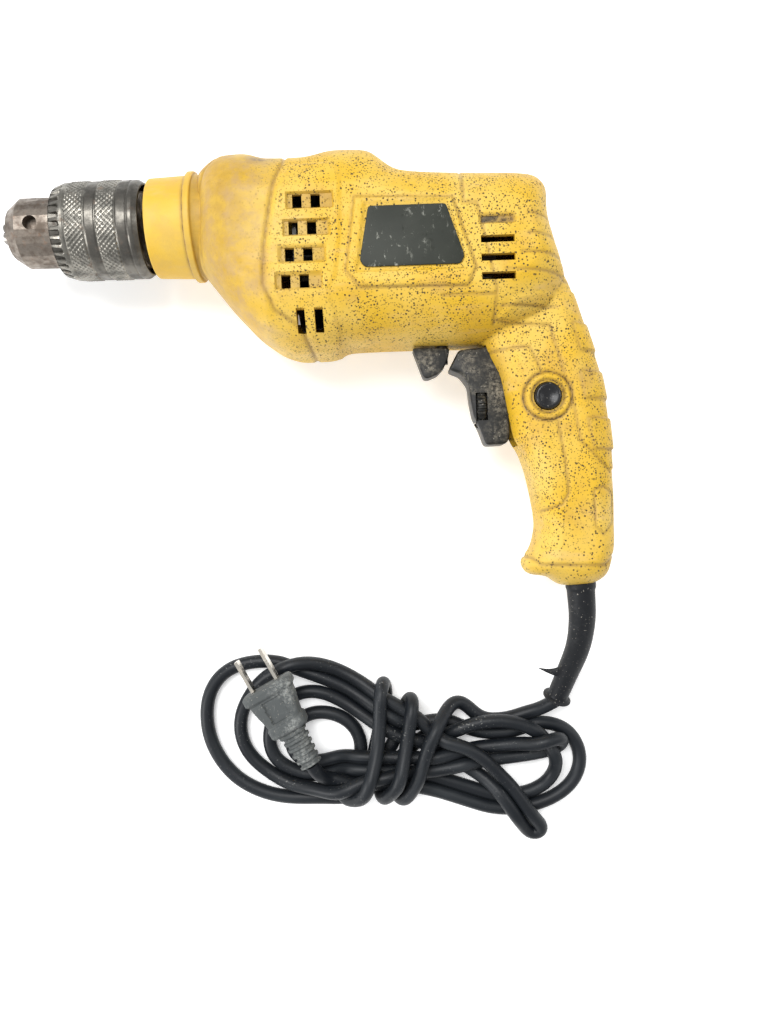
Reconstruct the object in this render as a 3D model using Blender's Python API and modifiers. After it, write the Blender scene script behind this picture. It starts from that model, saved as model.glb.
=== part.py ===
"""A corded hammer drill lying on its side, with its lead bundled in front of it.

All sizes are in millimetres. X runs from the chuck to the rear of the motor housing, +Y to the top
edge of the housing, and +Z up from the table. The origin is on the table, under the spindle's axis.
"""

import math

import bmesh
import bpy
from mathutils import Matrix, Vector

MM = 0.001
GAP = 0.3

# Housing
BODY_HALF = 35.0
CENTRE_Z = BODY_HALF
HANDLE_HALF = 19.0
WALL = 2.8
ROUNDNESS = 3.2
CAP_LEVEL = 0.945
BODY_SPINE = (-62.0, -16.0, 38.0, -18.0)
HANDLE_SPINE = (52.0, -46.0, 68.0, -150.0)
BODY_FRONT = -96.0
BODY_TOP = 28.0
MODULE = 0.7
GEAR_TEETH = 43
PINION_TEETH = 7
MOTOR_Y = -(GEAR_TEETH + PINION_TEETH) * MODULE / 2
BELLY = MOTOR_Y - 40.0
BODY_OUTLINE = [
    (BODY_FRONT, -22.0), (BODY_FRONT, 20.0), (-86.0, BODY_TOP), (-72.0, BODY_TOP), (-65.0, 25.0),
    (-46.0, 25.0), (-36.0, 28.5), (-19.0, 28.5), (-8.0, 18.5), (24.0, 18.0), (54.0, 17.0),
    (61.0, 11.0), (60.5, -4.0), (65.0, -20.0), (70.0, -34.0), (58.0, -52.0), (30.0, BELLY - 2.0),
    (-5.0, BELLY - 0.5), (-32.0, BELLY), (-37.0, BELLY - 3.0), (-53.0, BELLY - 3.0),
    (-60.0, BELLY + 0.5), (-69.0, BELLY + 8.5), (-80.0, BELLY + 21.5), (-89.0, BELLY + 32.5),
]
HANDLE_OUTLINE = [
    (26.0, -40.0), (64.0, -18.0), (71.0, -33.0), (75.5, -47.0), (80.0, -61.0), (83.5, -73.0),
    (85.5, -86.0), (87.0, -104.0), (87.5, -128.0), (86.0, -154.0), (82.0, -165.5), (76.0, -168.0),
    (60.0, -168.5), (54.0, -163.5), (46.0, -162.5), (43.0, -156.5), (49.0, -150.0), (51.5, -141.0),
    (49.0, -127.0), (47.0, -116.5), (44.0, -107.0), (40.0, -102.0), (37.5, -86.0), (35.5, -73.0),
    (30.0, -62.0),
]
VENT_FIRST = (-45.5, -2.5)
VENT_STEP = (-1.9, -11.0)
VENT_ROWS = 4
VENT_SIZE = (3.9, 5.6)
VENT_SPLIT = 7.6
LOW_VENT = (-46.0, -50.5)
LOW_VENT_SIZE = (3.6, 9.0)
REAR_VENT = (33.0, -21.0)
REAR_VENT_STEP = -7.6
REAR_VENTS = 3
REAR_VENT_SIZE = (14.0, 3.0)
SCREW_PLACES = [(-83.0, 20.8), (-76.0, MOTOR_Y - 9.5), (-8.0, BELLY + 7.3), (50.0, 3.0),
                (66.0, -60.0), (66.5, -116.0), (56.0, -155.0)]
SCREW_RADIUS = 1.9
SCREW_HEAD_RADIUS = 2.8
SCREW_HEAD_DEPTH = 2.4
BOSS_RADIUS = 4.3
SCREW_SEAT = 0.7
SCREW_REACH = 0.4
HANDLE_TOP = -56.0

# Spindle line: the spindle turns about Y = 0
COLLAR_RADIUS = 21.5
COLLAR_FRONT = BODY_FRONT - 23.0
COLLAR_WALL = 3.0
COLLAR_FLANGE = 24.0
COLLAR_FLANGE_LENGTH = 3.4
SPIGOT_RADIUS = 19.5
SPIGOT_LENGTH = 7.0
SPIGOT_END = BODY_FRONT + SPIGOT_LENGTH
SPINDLE_RADIUS = 6.0
SPINDLE_NECK = 5.0
SPINDLE_REAR = -57.0
HAMMER_TRAVEL = 1.2
BEARING_RADIUS = 14.0
BEARING_WIDTH = 8.0
BEARING_FRONT = -113.0
RATCHET_RADIUS = 13.0
RATCHET_WIDTH = 4.0
RATCHET_TEETH = 13
RATCHET_FACE = -84.0
RATCHET_GAP = 2.0
TOOTH_DEPTH = 0.8
GEAR_FRONT = -77.5
GEAR_WIDTH = 7.0
ADDENDUM = 0.42
DEDENDUM = 0.80
TOOTH_SHARE = 0.34
SPRING_RADIUS = 14.8
SPRING_WIRE = 0.7
SPRING_TURNS = 4
WASHER_THICKNESS = 1.5
BUSH_LENGTH = 8.0
BUSH_RADIUS = 8.4
FIXED_RATCHET_RADIUS = 16.0

# Chuck
NOSE_RADIUS = 15.35
NOSE_FRONT = -180.5
SLEEVE_FRONT = -158.5
SLEEVE_REAR = -126.5
CHUCK_REAR = COLLAR_FRONT - 1.5
SLEEVE_RADIUS = 21.2
SLEEVE_BORE = 19.2
JAW_RADIUS = 3.5
JAW_LENGTH = 26.0
JAW_ANGLE = math.radians(15.0)
JAW_TIP_OFFSET = 1.2
JAW_PROUD = 3.5
JAW_TRAVEL = 25.0
KEY_HOLE_RADIUS = 3.1
KEY_HOLE_FROM_NOSE = 12.5
KEY_HOLE_DEPTH = 4.6
NUT_WIDTH = 7.0
NUT_FRONT = SLEEVE_FRONT + 3.5
THREAD_DEPTH = 14.0
CHUCK_BORE = 7.0
CHUCK_SCREW_RADIUS = 2.2
JAW_CLEARANCE = 0.2

# Motor line
SHAFT_RADIUS = 4.0
SHAFT_REAR = 36.0
FAN_FRONT = -52.0
FAN_WIDTH = 9.0
FAN_RADIUS = 31.0
FAN_BLADES = 12
CORE_FRONT = -34.0
CORE_LENGTH = 36.0
CORE_RADIUS = 16.0
AIR_GAP = 0.6
STATOR_RADIUS = 28.5
COIL_REACH = 12.0
COIL_OUTER = 23.0
COIL_OVERHANG = 4.0
COMMUTATOR_FRONT = 8.0
COMMUTATOR_LENGTH = 14.0
COMMUTATOR_RADIUS = 11.0
BRUSH_SIZE = (6.0, 5.0)
BRUSH_LENGTH = 10.0
HOLDER_WALL = 1.2
HOLDER_LENGTH = 20.0
MOTOR_BEARING_RADIUS = 9.5
FRONT_BEARING_RADIUS = 8.0
MOTOR_BEARING_WIDTH = 6.0

# Controls
TRIGGER_WIDTH = 13.0
TRIGGER_TRAVEL = 6.5
TRIGGER_OUTLINE = [
    (20.5, -61.6), (28.0, -63.0), (32.0, -67.0), (33.6, -76.0), (35.5, -88.0), (37.6, -101.0),
    (36.0, -103.4), (28.8, -103.8), (26.4, -96.5), (23.8, -91.0), (22.6, -84.0), (22.0, -76.5),
    (18.5, -71.5), (13.0, -69.6),
]
DIAL_PLACE = (27.4, -86.5)
DIAL_RADIUS = 8.6
DIAL_WIDTH = 4.4
LEVER_PIVOT = (11.0, BELLY - 6.5)
LEVER_OUTLINE = [(-2.0, BELLY - 5.7), (14.0, BELLY - 5.7), (11.4, BELLY - 10.5),
                 (8.2, BELLY - 13.7), (4.0, BELLY - 15.3), (2.0, BELLY - 14.9)]
LEVER_WIDTH = 9.0
LEVER_SLOT = 12.0
LEVER_STEM = 9.5
LEVER_STEM_RADIUS = 2.6
BUTTON_PLACE = (54.5, -84.5)
BUTTON_RADIUS = 5.9
BUTTON_PROUD = 2.2
BUTTON_DEPTH = 9.0
BUTTON_TRAVEL = 3.0
SELECTOR_X = (-80.0, -66.0)
SELECTOR_THICKNESS = 3.4
SELECTOR_PROUD = 1.8
SELECTOR_WIDTH = 11.0
SELECTOR_TRAVEL = 7.0
SELECTOR_SLOT = SELECTOR_WIDTH + SELECTOR_TRAVEL + 2 * GAP
SWITCH_BOX = ((46.5, -103.0, -8.5), (61.0, -68.0, 8.5))
CAPACITOR_BOX = ((64.0, -100.0, -6.0), (76.0, -80.0, 6.0))
CLAMP_BOX = ((61.0, -147.0, 1.0), (79.0, -141.0, 5.0))
CLAMP_SCREWS = (64.5, 75.5)
LABEL_OUTLINE = [(-20.0, -6.0), (12.0, -6.0), (18.5, -31.0), (-24.0, -31.0)]
LABEL_THICKNESS = 0.8

# Lead
CORD_RADIUS = 3.3
BOOT_ROUTE = [(70.0, -152.0, CENTRE_Z), (70.2, -170.0, CENTRE_Z - 0.4),
              (71.2, -184.0, CENTRE_Z - 3.4), (69.8, -198.0, 24.6), (65.2, -212.0, 15.8),
              (60.4, -225.0, 9.6)]
BOOT_RADII = (6.4, 6.3, 6.0, 5.6, 5.2, 4.8)
LEAD_ROUTE = [(60.1, -225.8, 9.2), (58.8, -228.4, 7.4), (57.0, -230.7, 5.8), (54.8, -232.2, 4.8)]
TAIL_ROUTE = [(-58.6, -254.2, 23.0), (-54.0, -261.5, 21.4), (-46.5, -266.5, 20.0),
              (-37.5, -268.0, 19.4)]
HANK_OUTLINE = [
    (-64.0, -200.0), (-86.0, -201.0), (-103.0, -211.0), (-112.0, -229.0), (-110.0, -245.0),
    (-101.0, -259.0), (-84.0, -271.0), (-66.0, -275.5), (-38.0, -277.0), (-14.0, -274.5),
    (24.0, -276.0), (38.0, -283.0), (50.0, -294.0), (58.0, -293.0), (57.0, -283.0), (68.0, -275.0),
    (78.0, -262.0), (78.0, -248.0), (70.0, -238.5), (46.0, -236.4), (20.0, -233.0), (16.0, -216.0),
    (8.0, -217.0), (-8.0, -224.0), (-26.0, -206.0), (-44.0, -204.0),
]
HANK_HEIGHT = 13.6
WAIST_OUTLINE = [(-34.0, -273.0), (-12.0, -274.0), (4.0, -262.0), (17.0, -226.0), (8.0, -217.0),
                 (-10.0, -216.0), (-26.0, -208.0), (-30.0, -240.0)]
WAIST_HEIGHT = 27.0
PLUG_FACE = (-76.6, -211.4)
PLUG_TURN = math.radians(-62.0)
PLUG_LENGTH = 43.0
PLUG_WIDTH = 25.0
PLUG_THICKNESS = 16.0
PLUG_HEIGHT = HANK_HEIGHT + GAP + PLUG_THICKNESS / 2
BLADE_SPACING = 12.7
BLADE_LENGTH = 16.5
BLADE_WIDTH = 6.3
BLADE_THICKNESS = 1.5

YELLOW = ("housing_yellow", (0.72, 0.42, 0.03), 0.5, 0.0)
BLACK = ("control_black", (0.02, 0.02, 0.02), 0.45, 0.0)
RUBBER = ("lead_rubber", (0.02, 0.02, 0.025), 0.7, 0.0)
STEEL = ("worn_steel", (0.32, 0.31, 0.29), 0.35, 1.0)
DARK_STEEL = ("dark_steel", (0.16, 0.15, 0.14), 0.4, 1.0)
COPPER = ("copper", (0.75, 0.33, 0.16), 0.35, 1.0)
BRASS = ("brass", (0.75, 0.55, 0.25), 0.35, 1.0)
CARBON = ("carbon", (0.05, 0.05, 0.05), 0.7, 0.0)
INSULATOR = ("insulator", (0.45, 0.34, 0.22), 0.6, 0.0)
LABEL = ("label_black", (0.02, 0.02, 0.02), 0.4, 0.0)


def clear_scene():
    for obj in list(bpy.data.objects):
        bpy.data.objects.remove(obj, do_unlink=True)


def new_collection(name):
    collection = bpy.data.collections.new(name)
    bpy.context.scene.collection.children.link(collection)
    return collection


def material(look):
    name, colour, roughness, metallic = look
    if name in bpy.data.materials:
        return bpy.data.materials[name]
    made = bpy.data.materials.new(name)
    made.use_nodes = True
    shader = made.node_tree.nodes["Principled BSDF"]
    shader.inputs["Base Color"].default_value = (*colour, 1.0)
    shader.inputs["Roughness"].default_value = roughness
    shader.inputs["Metallic"].default_value = metallic
    return made


def add(name, mesh, look=None, place=(0.0, 0.0, 0.0)):
    """Put a mesh made in millimetres in the scene, with its origin at a place. No look: a cutter."""
    mesh.transform(Matrix.Translation(-Vector(place)))
    mesh.transform(Matrix.Scale(MM, 4))
    obj = bpy.data.objects.new(name, mesh)
    obj.location = Vector(place) * MM
    if look is None:
        obj.hide_render = True
        obj.display_type = "WIRE"
        CUTTERS.objects.link(obj)
        return obj
    mesh.materials.clear()
    mesh.materials.append(material(look))
    mesh.shade_smooth()
    mesh.set_sharp_from_angle(angle=math.radians(35.0))
    PARTS.objects.link(obj)
    return obj


def mesh_from(bm, name):
    mesh = bpy.data.meshes.new(name)
    bmesh.ops.recalc_face_normals(bm, faces=bm.faces)
    bm.to_mesh(mesh)
    bm.free()
    return mesh


def box(name, low, high, look=None, place=(0.0, 0.0, 0.0)):
    low, high = Vector(low), Vector(high)
    bm = bmesh.new()
    bmesh.ops.create_cube(bm, size=1.0)
    bmesh.ops.scale(bm, vec=high - low, verts=bm.verts)
    bmesh.ops.translate(bm, vec=(low + high) / 2, verts=bm.verts)
    return add(name, mesh_from(bm, name), look, place)


def rod(name, start, end, radius, look=None, sides=16, end_radius=None, place=(0.0, 0.0, 0.0)):
    """A cylinder or cone from one point to another."""
    start, end = Vector(start), Vector(end)
    bm = bmesh.new()
    bmesh.ops.create_cone(bm, cap_ends=True, segments=sides, radius1=radius,
                          radius2=radius if end_radius is None else end_radius,
                          depth=(end - start).length)
    turn = (end - start).to_track_quat("Z", "Y").to_matrix().to_4x4()
    bmesh.ops.transform(bm, matrix=Matrix.Translation((start + end) / 2) @ turn, verts=bm.verts)
    return add(name, mesh_from(bm, name), look, place)


def turned(name, profile, look=None, axis_y=0.0, steps=32):
    """Turn a profile of (x, radius) points about an axis along X. A profile off the axis is a ring."""
    ring = min(radius for _, radius in profile) > 0.0
    area = sum(x0 * r1 - x1 * r0 for (x0, r0), (x1, r1) in zip(profile, profile[1:] + profile[:1]))
    points = profile if area < 0 else profile[::-1]
    centre_x = (min(x for x, _ in points) + max(x for x, _ in points)) / 2
    mesh = bpy.data.meshes.new(name)
    count = len(points)
    edges = [(i, (i + 1) % count) for i in range(count if ring else count - 1)]
    mesh.from_pydata([(r * MM, 0.0, (centre_x - x) * MM) for x, r in points], edges, [])
    obj = bpy.data.objects.new(name, mesh)
    screw = obj.modifiers.new("Screw", "SCREW")
    screw.steps = screw.render_steps = steps
    screw.use_merge_vertices = True
    screw.merge_threshold = 0.00001
    bpy.context.scene.collection.objects.link(obj)
    solid = bpy.data.meshes.new_from_object(obj.evaluated_get(bpy.context.evaluated_depsgraph_get()))
    bpy.data.objects.remove(obj)
    solid.transform(Matrix.Scale(1 / MM, 4))
    solid.transform(Matrix.Rotation(math.radians(-90.0), 4, "Y"))
    solid.transform(Matrix.Translation((centre_x, axis_y, CENTRE_Z)))
    bm = bmesh.new()
    bm.from_mesh(solid)
    bmesh.ops.remove_doubles(bm, verts=bm.verts, dist=0.001)
    return add(name, mesh_from(bm, name), look, (centre_x, axis_y, CENTRE_Z))


def plate(name, outline, low, high, look=None, place=(0.0, 0.0, 0.0)):
    """A flat outline in XY, filled and extruded between two heights."""
    curve = bpy.data.curves.new(name, "CURVE")
    curve.dimensions = "2D"
    curve.fill_mode = "BOTH"
    curve.extrude = (high - low) / 2
    spline = curve.splines.new("POLY")
    spline.points.add(len(outline) - 1)
    for point, (x, y) in zip(spline.points, outline):
        point.co = (x, y, 0.0, 1.0)
    spline.use_cyclic_u = True
    mesh = curve_mesh(name, curve)
    mesh.transform(Matrix.Translation((0.0, 0.0, (low + high) / 2)))
    return add(name, mesh, look, place)


def curve_mesh(name, curve):
    """The closed mesh that a curve makes, with its caps welded on."""
    obj = bpy.data.objects.new(name + "_curve", curve)
    bpy.context.scene.collection.objects.link(obj)
    mesh = bpy.data.meshes.new_from_object(obj.evaluated_get(bpy.context.evaluated_depsgraph_get()))
    bpy.data.objects.remove(obj)
    bm = bmesh.new()
    bm.from_mesh(mesh)
    bmesh.ops.remove_doubles(bm, verts=bm.verts, dist=0.001)
    return mesh_from(bm, name)


def smooth_route(points, count):
    """Points read from one smooth curve through the given ones."""
    points = [Vector(p) for p in points]
    ends = [2 * points[0] - points[1]] + points + [2 * points[-1] - points[-2]]
    spans = len(points) - 1
    found = []
    for step in range(count):
        t = step / (count - 1) * spans
        i = min(int(t), spans - 1)
        t -= i
        a, b, c, d = ends[i:i + 4]
        found.append(0.5 * (2 * b + (c - a) * t + (2 * a - 5 * b + 4 * c - d) * t * t
                            + (3 * b - 3 * c + d - a) * t ** 3))
    return found


def tube(name, points, radii, look, resolution=2):
    """A round tube through points, with closed ends."""
    curve = bpy.data.curves.new(name, "CURVE")
    curve.dimensions = "3D"
    curve.bevel_depth = 1.0
    curve.bevel_resolution = resolution
    curve.use_fill_caps = True
    spline = curve.splines.new("POLY")
    spline.points.add(len(points) - 1)
    for point, place, radius in zip(spline.points, points, radii):
        point.co = (*place, 1.0)
        point.radius = radius
    return add(name, curve_mesh(name, curve), look, tuple(points[0]))


def combine(obj, other, operation):
    """Boolean another object into this one. What was joined becomes a helper."""
    modifier = obj.modifiers.new(operation.title() + "_" + other.name, "BOOLEAN")
    modifier.operation = operation
    modifier.object = other
    modifier.solver = "EXACT"


def cut(obj, *cutters):
    for cutter in cutters:
        combine(obj, cutter, "DIFFERENCE")


def join(obj, *others):
    for other in others:
        combine(obj, other, "UNION")


def nearest_on_spine(point, spine):
    start, end = Vector(spine[:2]), Vector(spine[2:])
    along = end - start
    t = max(0.0, min(1.0, (Vector(point) - start).dot(along) / along.length_squared))
    return start + along * t


def pillow(name, outline, spine, half, inset=0.0):
    """A closed form on a flat outline whose sections shrink towards a spine as they near its sides."""
    levels = (0.0, 0.42, 0.66, 0.82, 0.93, 1.0)
    shares = [(1.0 - (level * CAP_LEVEL) ** ROUNDNESS) ** (1.0 / ROUNDNESS) for level in levels]
    heights = [-(half - inset) * level for level in reversed(levels)]
    heights += [(half - inset) * level for level in levels[1:]]
    shares = shares[::-1] + shares[1:]
    bm = bmesh.new()
    rings = []
    for height, share in zip(heights, shares):
        ring = []
        for point in outline:
            foot = nearest_on_spine(point, spine)
            arm = Vector(point) - foot
            x, y = foot + arm * (1.0 - inset / arm.length) * share
            ring.append(bm.verts.new((x, y, CENTRE_Z + height)))
        rings.append(ring)
    for low, high in zip(rings, rings[1:]):
        for i in range(len(outline)):
            j = (i + 1) % len(outline)
            bm.faces.new((low[i], low[j], high[j], high[i]))
    bm.faces.new(rings[0])
    bm.faces.new(rings[-1])
    bmesh.ops.triangulate(bm, faces=bm.faces)
    return add(name, mesh_from(bm, name))


def window(name, centre, size, low, high):
    return box(name, (centre[0] - size[0] / 2, centre[1] - size[1] / 2, low),
               (centre[0] + size[0] / 2, centre[1] + size[1] / 2, high))


def vent_windows():
    """The openings of both sides, each a cutter that goes right through the housing."""
    low, high = -GAP, 2 * BODY_HALF + GAP
    for row in range(VENT_ROWS):
        for column in (0, 1):
            centre = (VENT_FIRST[0] + VENT_STEP[0] * row + (column - 0.5) * VENT_SPLIT,
                      VENT_FIRST[1] + VENT_STEP[1] * row)
            yield window(f"vent_{row}_{column}", centre, VENT_SIZE, low, high)
    for column in (0, 1):
        centre = (LOW_VENT[0] + (column - 0.5) * VENT_SPLIT, LOW_VENT[1])
        yield window(f"low_vent_{column}", centre, LOW_VENT_SIZE, low, high)
    for row in range(REAR_VENTS):
        centre = (REAR_VENT[0], REAR_VENT[1] + REAR_VENT_STEP * row)
        yield window(f"rear_vent_{row}", centre, REAR_VENT_SIZE, low, high)


def housing():
    """Two clamshell halves: an outer form less an inner one, split at the middle."""
    outer = pillow("outer_body", BODY_OUTLINE, BODY_SPINE, BODY_HALF)
    outer_handle = pillow("outer_handle", HANDLE_OUTLINE, HANDLE_SPINE, HANDLE_HALF)
    inner = pillow("inner_body", BODY_OUTLINE, BODY_SPINE, BODY_HALF, WALL)
    inner_handle = pillow("inner_handle", HANDLE_OUTLINE, HANDLE_SPINE, HANDLE_HALF, WALL)
    nose_hole = rod("nose_hole", (COLLAR_FRONT, 0.0, CENTRE_Z), (SPIGOT_END, 0.0, CENTRE_Z),
                    SPIGOT_RADIUS + GAP, sides=32)
    front, foot = (min(corner) for corner in zip(*TRIGGER_OUTLINE))
    head = max(y for _, y in TRIGGER_OUTLINE)
    trigger_hole = box("trigger_hole",
                       (front + GAP, foot - 0.8, CENTRE_Z - TRIGGER_WIDTH / 2 - GAP),
                       (SWITCH_BOX[0][0], head + 2.6, CENTRE_Z + TRIGGER_WIDTH / 2 + GAP))
    nose, rear = min(LEVER_OUTLINE)[0], max(LEVER_OUTLINE)[0]
    lever_hole = box("lever_hole", (nose - 2.0, BELLY - 4.5, CENTRE_Z - LEVER_SLOT / 2),
                     (rear + 6.0, BELLY + 3.5, CENTRE_Z + LEVER_SLOT / 2))
    button_hole = rod("button_hole", (*BUTTON_PLACE, CENTRE_Z), (*BUTTON_PLACE, 2 * BODY_HALF),
                      BUTTON_RADIUS + GAP)
    boot_hole = rod("boot_hole", (BOOT_ROUTE[0][0], BOOT_ROUTE[0][1] + 4.0, CENTRE_Z),
                    (BOOT_ROUTE[0][0], BOOT_ROUTE[1][1] - 4.0, CENTRE_Z), BOOT_RADII[0] + GAP)
    selector_hole = box("selector_hole",
                        (SELECTOR_X[0] - GAP, BODY_TOP - WALL - 3.0, CENTRE_Z - SELECTOR_SLOT / 2),
                        (SELECTOR_X[1] + GAP, BODY_TOP + 3.0, CENTRE_Z + SELECTOR_SLOT / 2))
    vents = list(vent_windows())
    mid_body = pillow("mid_body", BODY_OUTLINE, BODY_SPINE, BODY_HALF, WALL / 2)
    mid_handle = pillow("mid_handle", HANDLE_OUTLINE, HANDLE_SPINE, HANDLE_HALF, WALL / 2)
    bosses, holes = [], []
    for number, place in enumerate(SCREW_PLACES, 1):
        low, high = screw_span(place)
        boss = rod(f"boss_{number}", (*place, 0.0), (*place, 2 * BODY_HALF), BOSS_RADIUS, sides=12)
        combine(boss, mid_handle if place[1] < HANDLE_TOP else mid_body, "INTERSECT")
        bosses.append(boss)
        holes.append(rod(f"screw_hole_{number}", (*place, -1.0), (*place, high),
                         SCREW_RADIUS + GAP, sides=12))
        holes.append(rod(f"head_hole_{number}", (*place, -1.0),
                         (*place, low + SCREW_HEAD_DEPTH + GAP), SCREW_HEAD_RADIUS + GAP, sides=12))
    halves = (("right_housing", -1.0, CENTRE_Z - GAP / 2),
              ("left_housing", CENTRE_Z + GAP / 2, 2 * BODY_HALF + 1.0))
    for name, low, high in halves:
        half = pillow(name + "_half", BODY_OUTLINE, BODY_SPINE, BODY_HALF)
        mesh = half.data.copy()
        bpy.data.objects.remove(half)
        mesh.materials.append(material(YELLOW))
        shell = bpy.data.objects.new(name, mesh)
        PARTS.objects.link(shell)
        join(shell, outer_handle)
        cut(shell, inner, inner_handle)
        join(shell, *bosses)
        cut(shell, nose_hole, trigger_hole, lever_hole, boot_hole, selector_hole, *vents, *holes)
        if name == "left_housing":
            cut(shell, button_hole)
        side = box(name + "_side", (-200.0, -200.0, low), (200.0, 200.0, high))
        combine(shell, side, "INTERSECT")
    bpy.data.objects.remove(outer)


def screw_span(place):
    """From the seat of a screw's head to the far end of its boss."""
    half = HANDLE_HALF if place[1] < HANDLE_TOP else BODY_HALF
    return CENTRE_Z - half * SCREW_SEAT, CENTRE_Z + half * SCREW_REACH


def at_angle(radius, angle):
    """A point about the spindle's axis, with the angle measured from +Z."""
    return radius * math.sin(angle), CENTRE_Z + radius * math.cos(angle)


def ring(name, x0, x1, inner, outer, look, axis_y=0.0, steps=32):
    return turned(name, [(x0, inner), (x1, inner), (x1, outer), (x0, outer)], look, axis_y, steps)


def gear_outline(teeth, axis_y, phase):
    """Straight-sided teeth about an axis along X, as (y, z) points."""
    pitch = teeth * MODULE / 2
    step = 2 * math.pi / teeth
    points = []
    for tooth in range(teeth):
        middle = phase + tooth * step
        for radius, half in ((pitch - DEDENDUM, 0.62), (pitch + ADDENDUM, 0.36),
                             (pitch + ADDENDUM, -0.36), (pitch - DEDENDUM, -0.62)):
            angle = middle - half * step * TOOTH_SHARE * (1.0 + 1.5 / teeth)
            points.append((axis_y + radius * math.cos(angle), CENTRE_Z + radius * math.sin(angle)))
    return points


def slab_x(name, outline, x0, x1, look=None, place=None):
    """A flat outline in YZ, extruded along X between two places."""
    obj = plate(name, outline, x0, x1)
    mesh = obj.data.copy()
    bpy.data.objects.remove(obj)
    mesh.transform(Matrix.Scale(1 / MM, 4))
    mesh.transform(Matrix(((0, 0, 1, 0), (1, 0, 0, 0), (0, 1, 0, 0), (0, 0, 0, 1))))
    return add(name, mesh, look, place or (x0, outline[0][0], outline[0][1]))


def collar():
    """The gear case: a tube with a flange against the housing and a spigot inside it."""
    turned("gear_case_collar", [
        (COLLAR_FRONT, BEARING_RADIUS + GAP), (COLLAR_FRONT, COLLAR_RADIUS - 1.0),
        (COLLAR_FRONT + 1.0, COLLAR_RADIUS), (BODY_FRONT - COLLAR_FLANGE_LENGTH, COLLAR_RADIUS),
        (BODY_FRONT - COLLAR_FLANGE_LENGTH, COLLAR_FLANGE), (BODY_FRONT - GAP, COLLAR_FLANGE),
        (BODY_FRONT - GAP, SPIGOT_RADIUS), (SPIGOT_END, SPIGOT_RADIUS),
        (SPIGOT_END, SPIGOT_RADIUS - COLLAR_WALL),
        (BEARING_FRONT + BEARING_WIDTH, SPIGOT_RADIUS - COLLAR_WALL),
        (BEARING_FRONT + BEARING_WIDTH, BEARING_RADIUS + GAP),
    ], YELLOW, steps=40)


def spindle_train():
    """The spindle with its gear, ratchets, spring and bearings."""
    turned("spindle", [
        (CHUCK_REAR + 4.0, 0.0), (CHUCK_REAR + 4.0, CHUCK_SCREW_RADIUS + GAP),
        (CHUCK_REAR - THREAD_DEPTH + GAP, CHUCK_SCREW_RADIUS + GAP),
        (CHUCK_REAR - THREAD_DEPTH + GAP, SPINDLE_RADIUS),
        (GEAR_FRONT + GEAR_WIDTH + 1.0, SPINDLE_RADIUS),
        (GEAR_FRONT + GEAR_WIDTH + 1.0, SPINDLE_NECK), (SPINDLE_REAR, SPINDLE_NECK),
        (SPINDLE_REAR, 0.0),
    ], STEEL, steps=24)
    bore = SPINDLE_RADIUS + GAP
    ring("spindle_front_bearing", BEARING_FRONT, BEARING_FRONT + BEARING_WIDTH - GAP, bore,
         BEARING_RADIUS, STEEL)
    ratchets = (("rotating_ratchet", RATCHET_FACE - RATCHET_WIDTH, RATCHET_FACE, RATCHET_RADIUS),
                ("fixed_ratchet", RATCHET_FACE + RATCHET_GAP, RATCHET_FACE + RATCHET_GAP,
                 FIXED_RATCHET_RADIUS))
    for name, x0, face, radius in ratchets:
        disc = ring(name, x0, x0 + RATCHET_WIDTH, bore, radius, DARK_STEEL, steps=26)
        for tooth in range(RATCHET_TEETH):
            angle = 2 * math.pi * (tooth + 0.25) / RATCHET_TEETH
            root, tip = at_angle(bore - 1.0, angle), at_angle(radius + 1.0, angle)
            cut(disc, rod(f"{name}_tooth_{tooth}", (face, *root), (face, *tip), TOOTH_DEPTH, sides=6))
    gear = slab_x("spindle_gear", gear_outline(GEAR_TEETH, 0.0, 0.0), GEAR_FRONT,
                  GEAR_FRONT + GEAR_WIDTH, STEEL, (GEAR_FRONT, 0.0, CENTRE_Z))
    cut(gear, rod("gear_bore", (GEAR_FRONT - 1.0, 0.0, CENTRE_Z),
                  (GEAR_FRONT + GEAR_WIDTH + 1.0, 0.0, CENTRE_Z), bore, sides=24))
    ring("spindle_rear_bush", SPINDLE_REAR - BUSH_LENGTH, SPINDLE_REAR, SPINDLE_NECK + GAP,
         BUSH_RADIUS, BRASS, steps=24)
    washer = BEARING_FRONT + BEARING_WIDTH + GAP
    ring("thrust_washer", washer, washer + WASHER_THICKNESS, bore, SPRING_RADIUS + SPRING_WIRE,
         STEEL, steps=24)
    start = washer + WASHER_THICKNESS + HAMMER_TRAVEL + GAP + SPRING_WIRE
    end = RATCHET_FACE + RATCHET_GAP - GAP - SPRING_WIRE
    count = int(SPRING_TURNS * 12) + 1
    coil = []
    for i in range(count):
        share = i / (count - 1)
        y, z = at_angle(SPRING_RADIUS, 2 * math.pi * SPRING_TURNS * share)
        coil.append((start + (end - start) * share, y, z))
    tube("spindle_spring", coil, [SPRING_WIRE] * count, STEEL, resolution=1)


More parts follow.
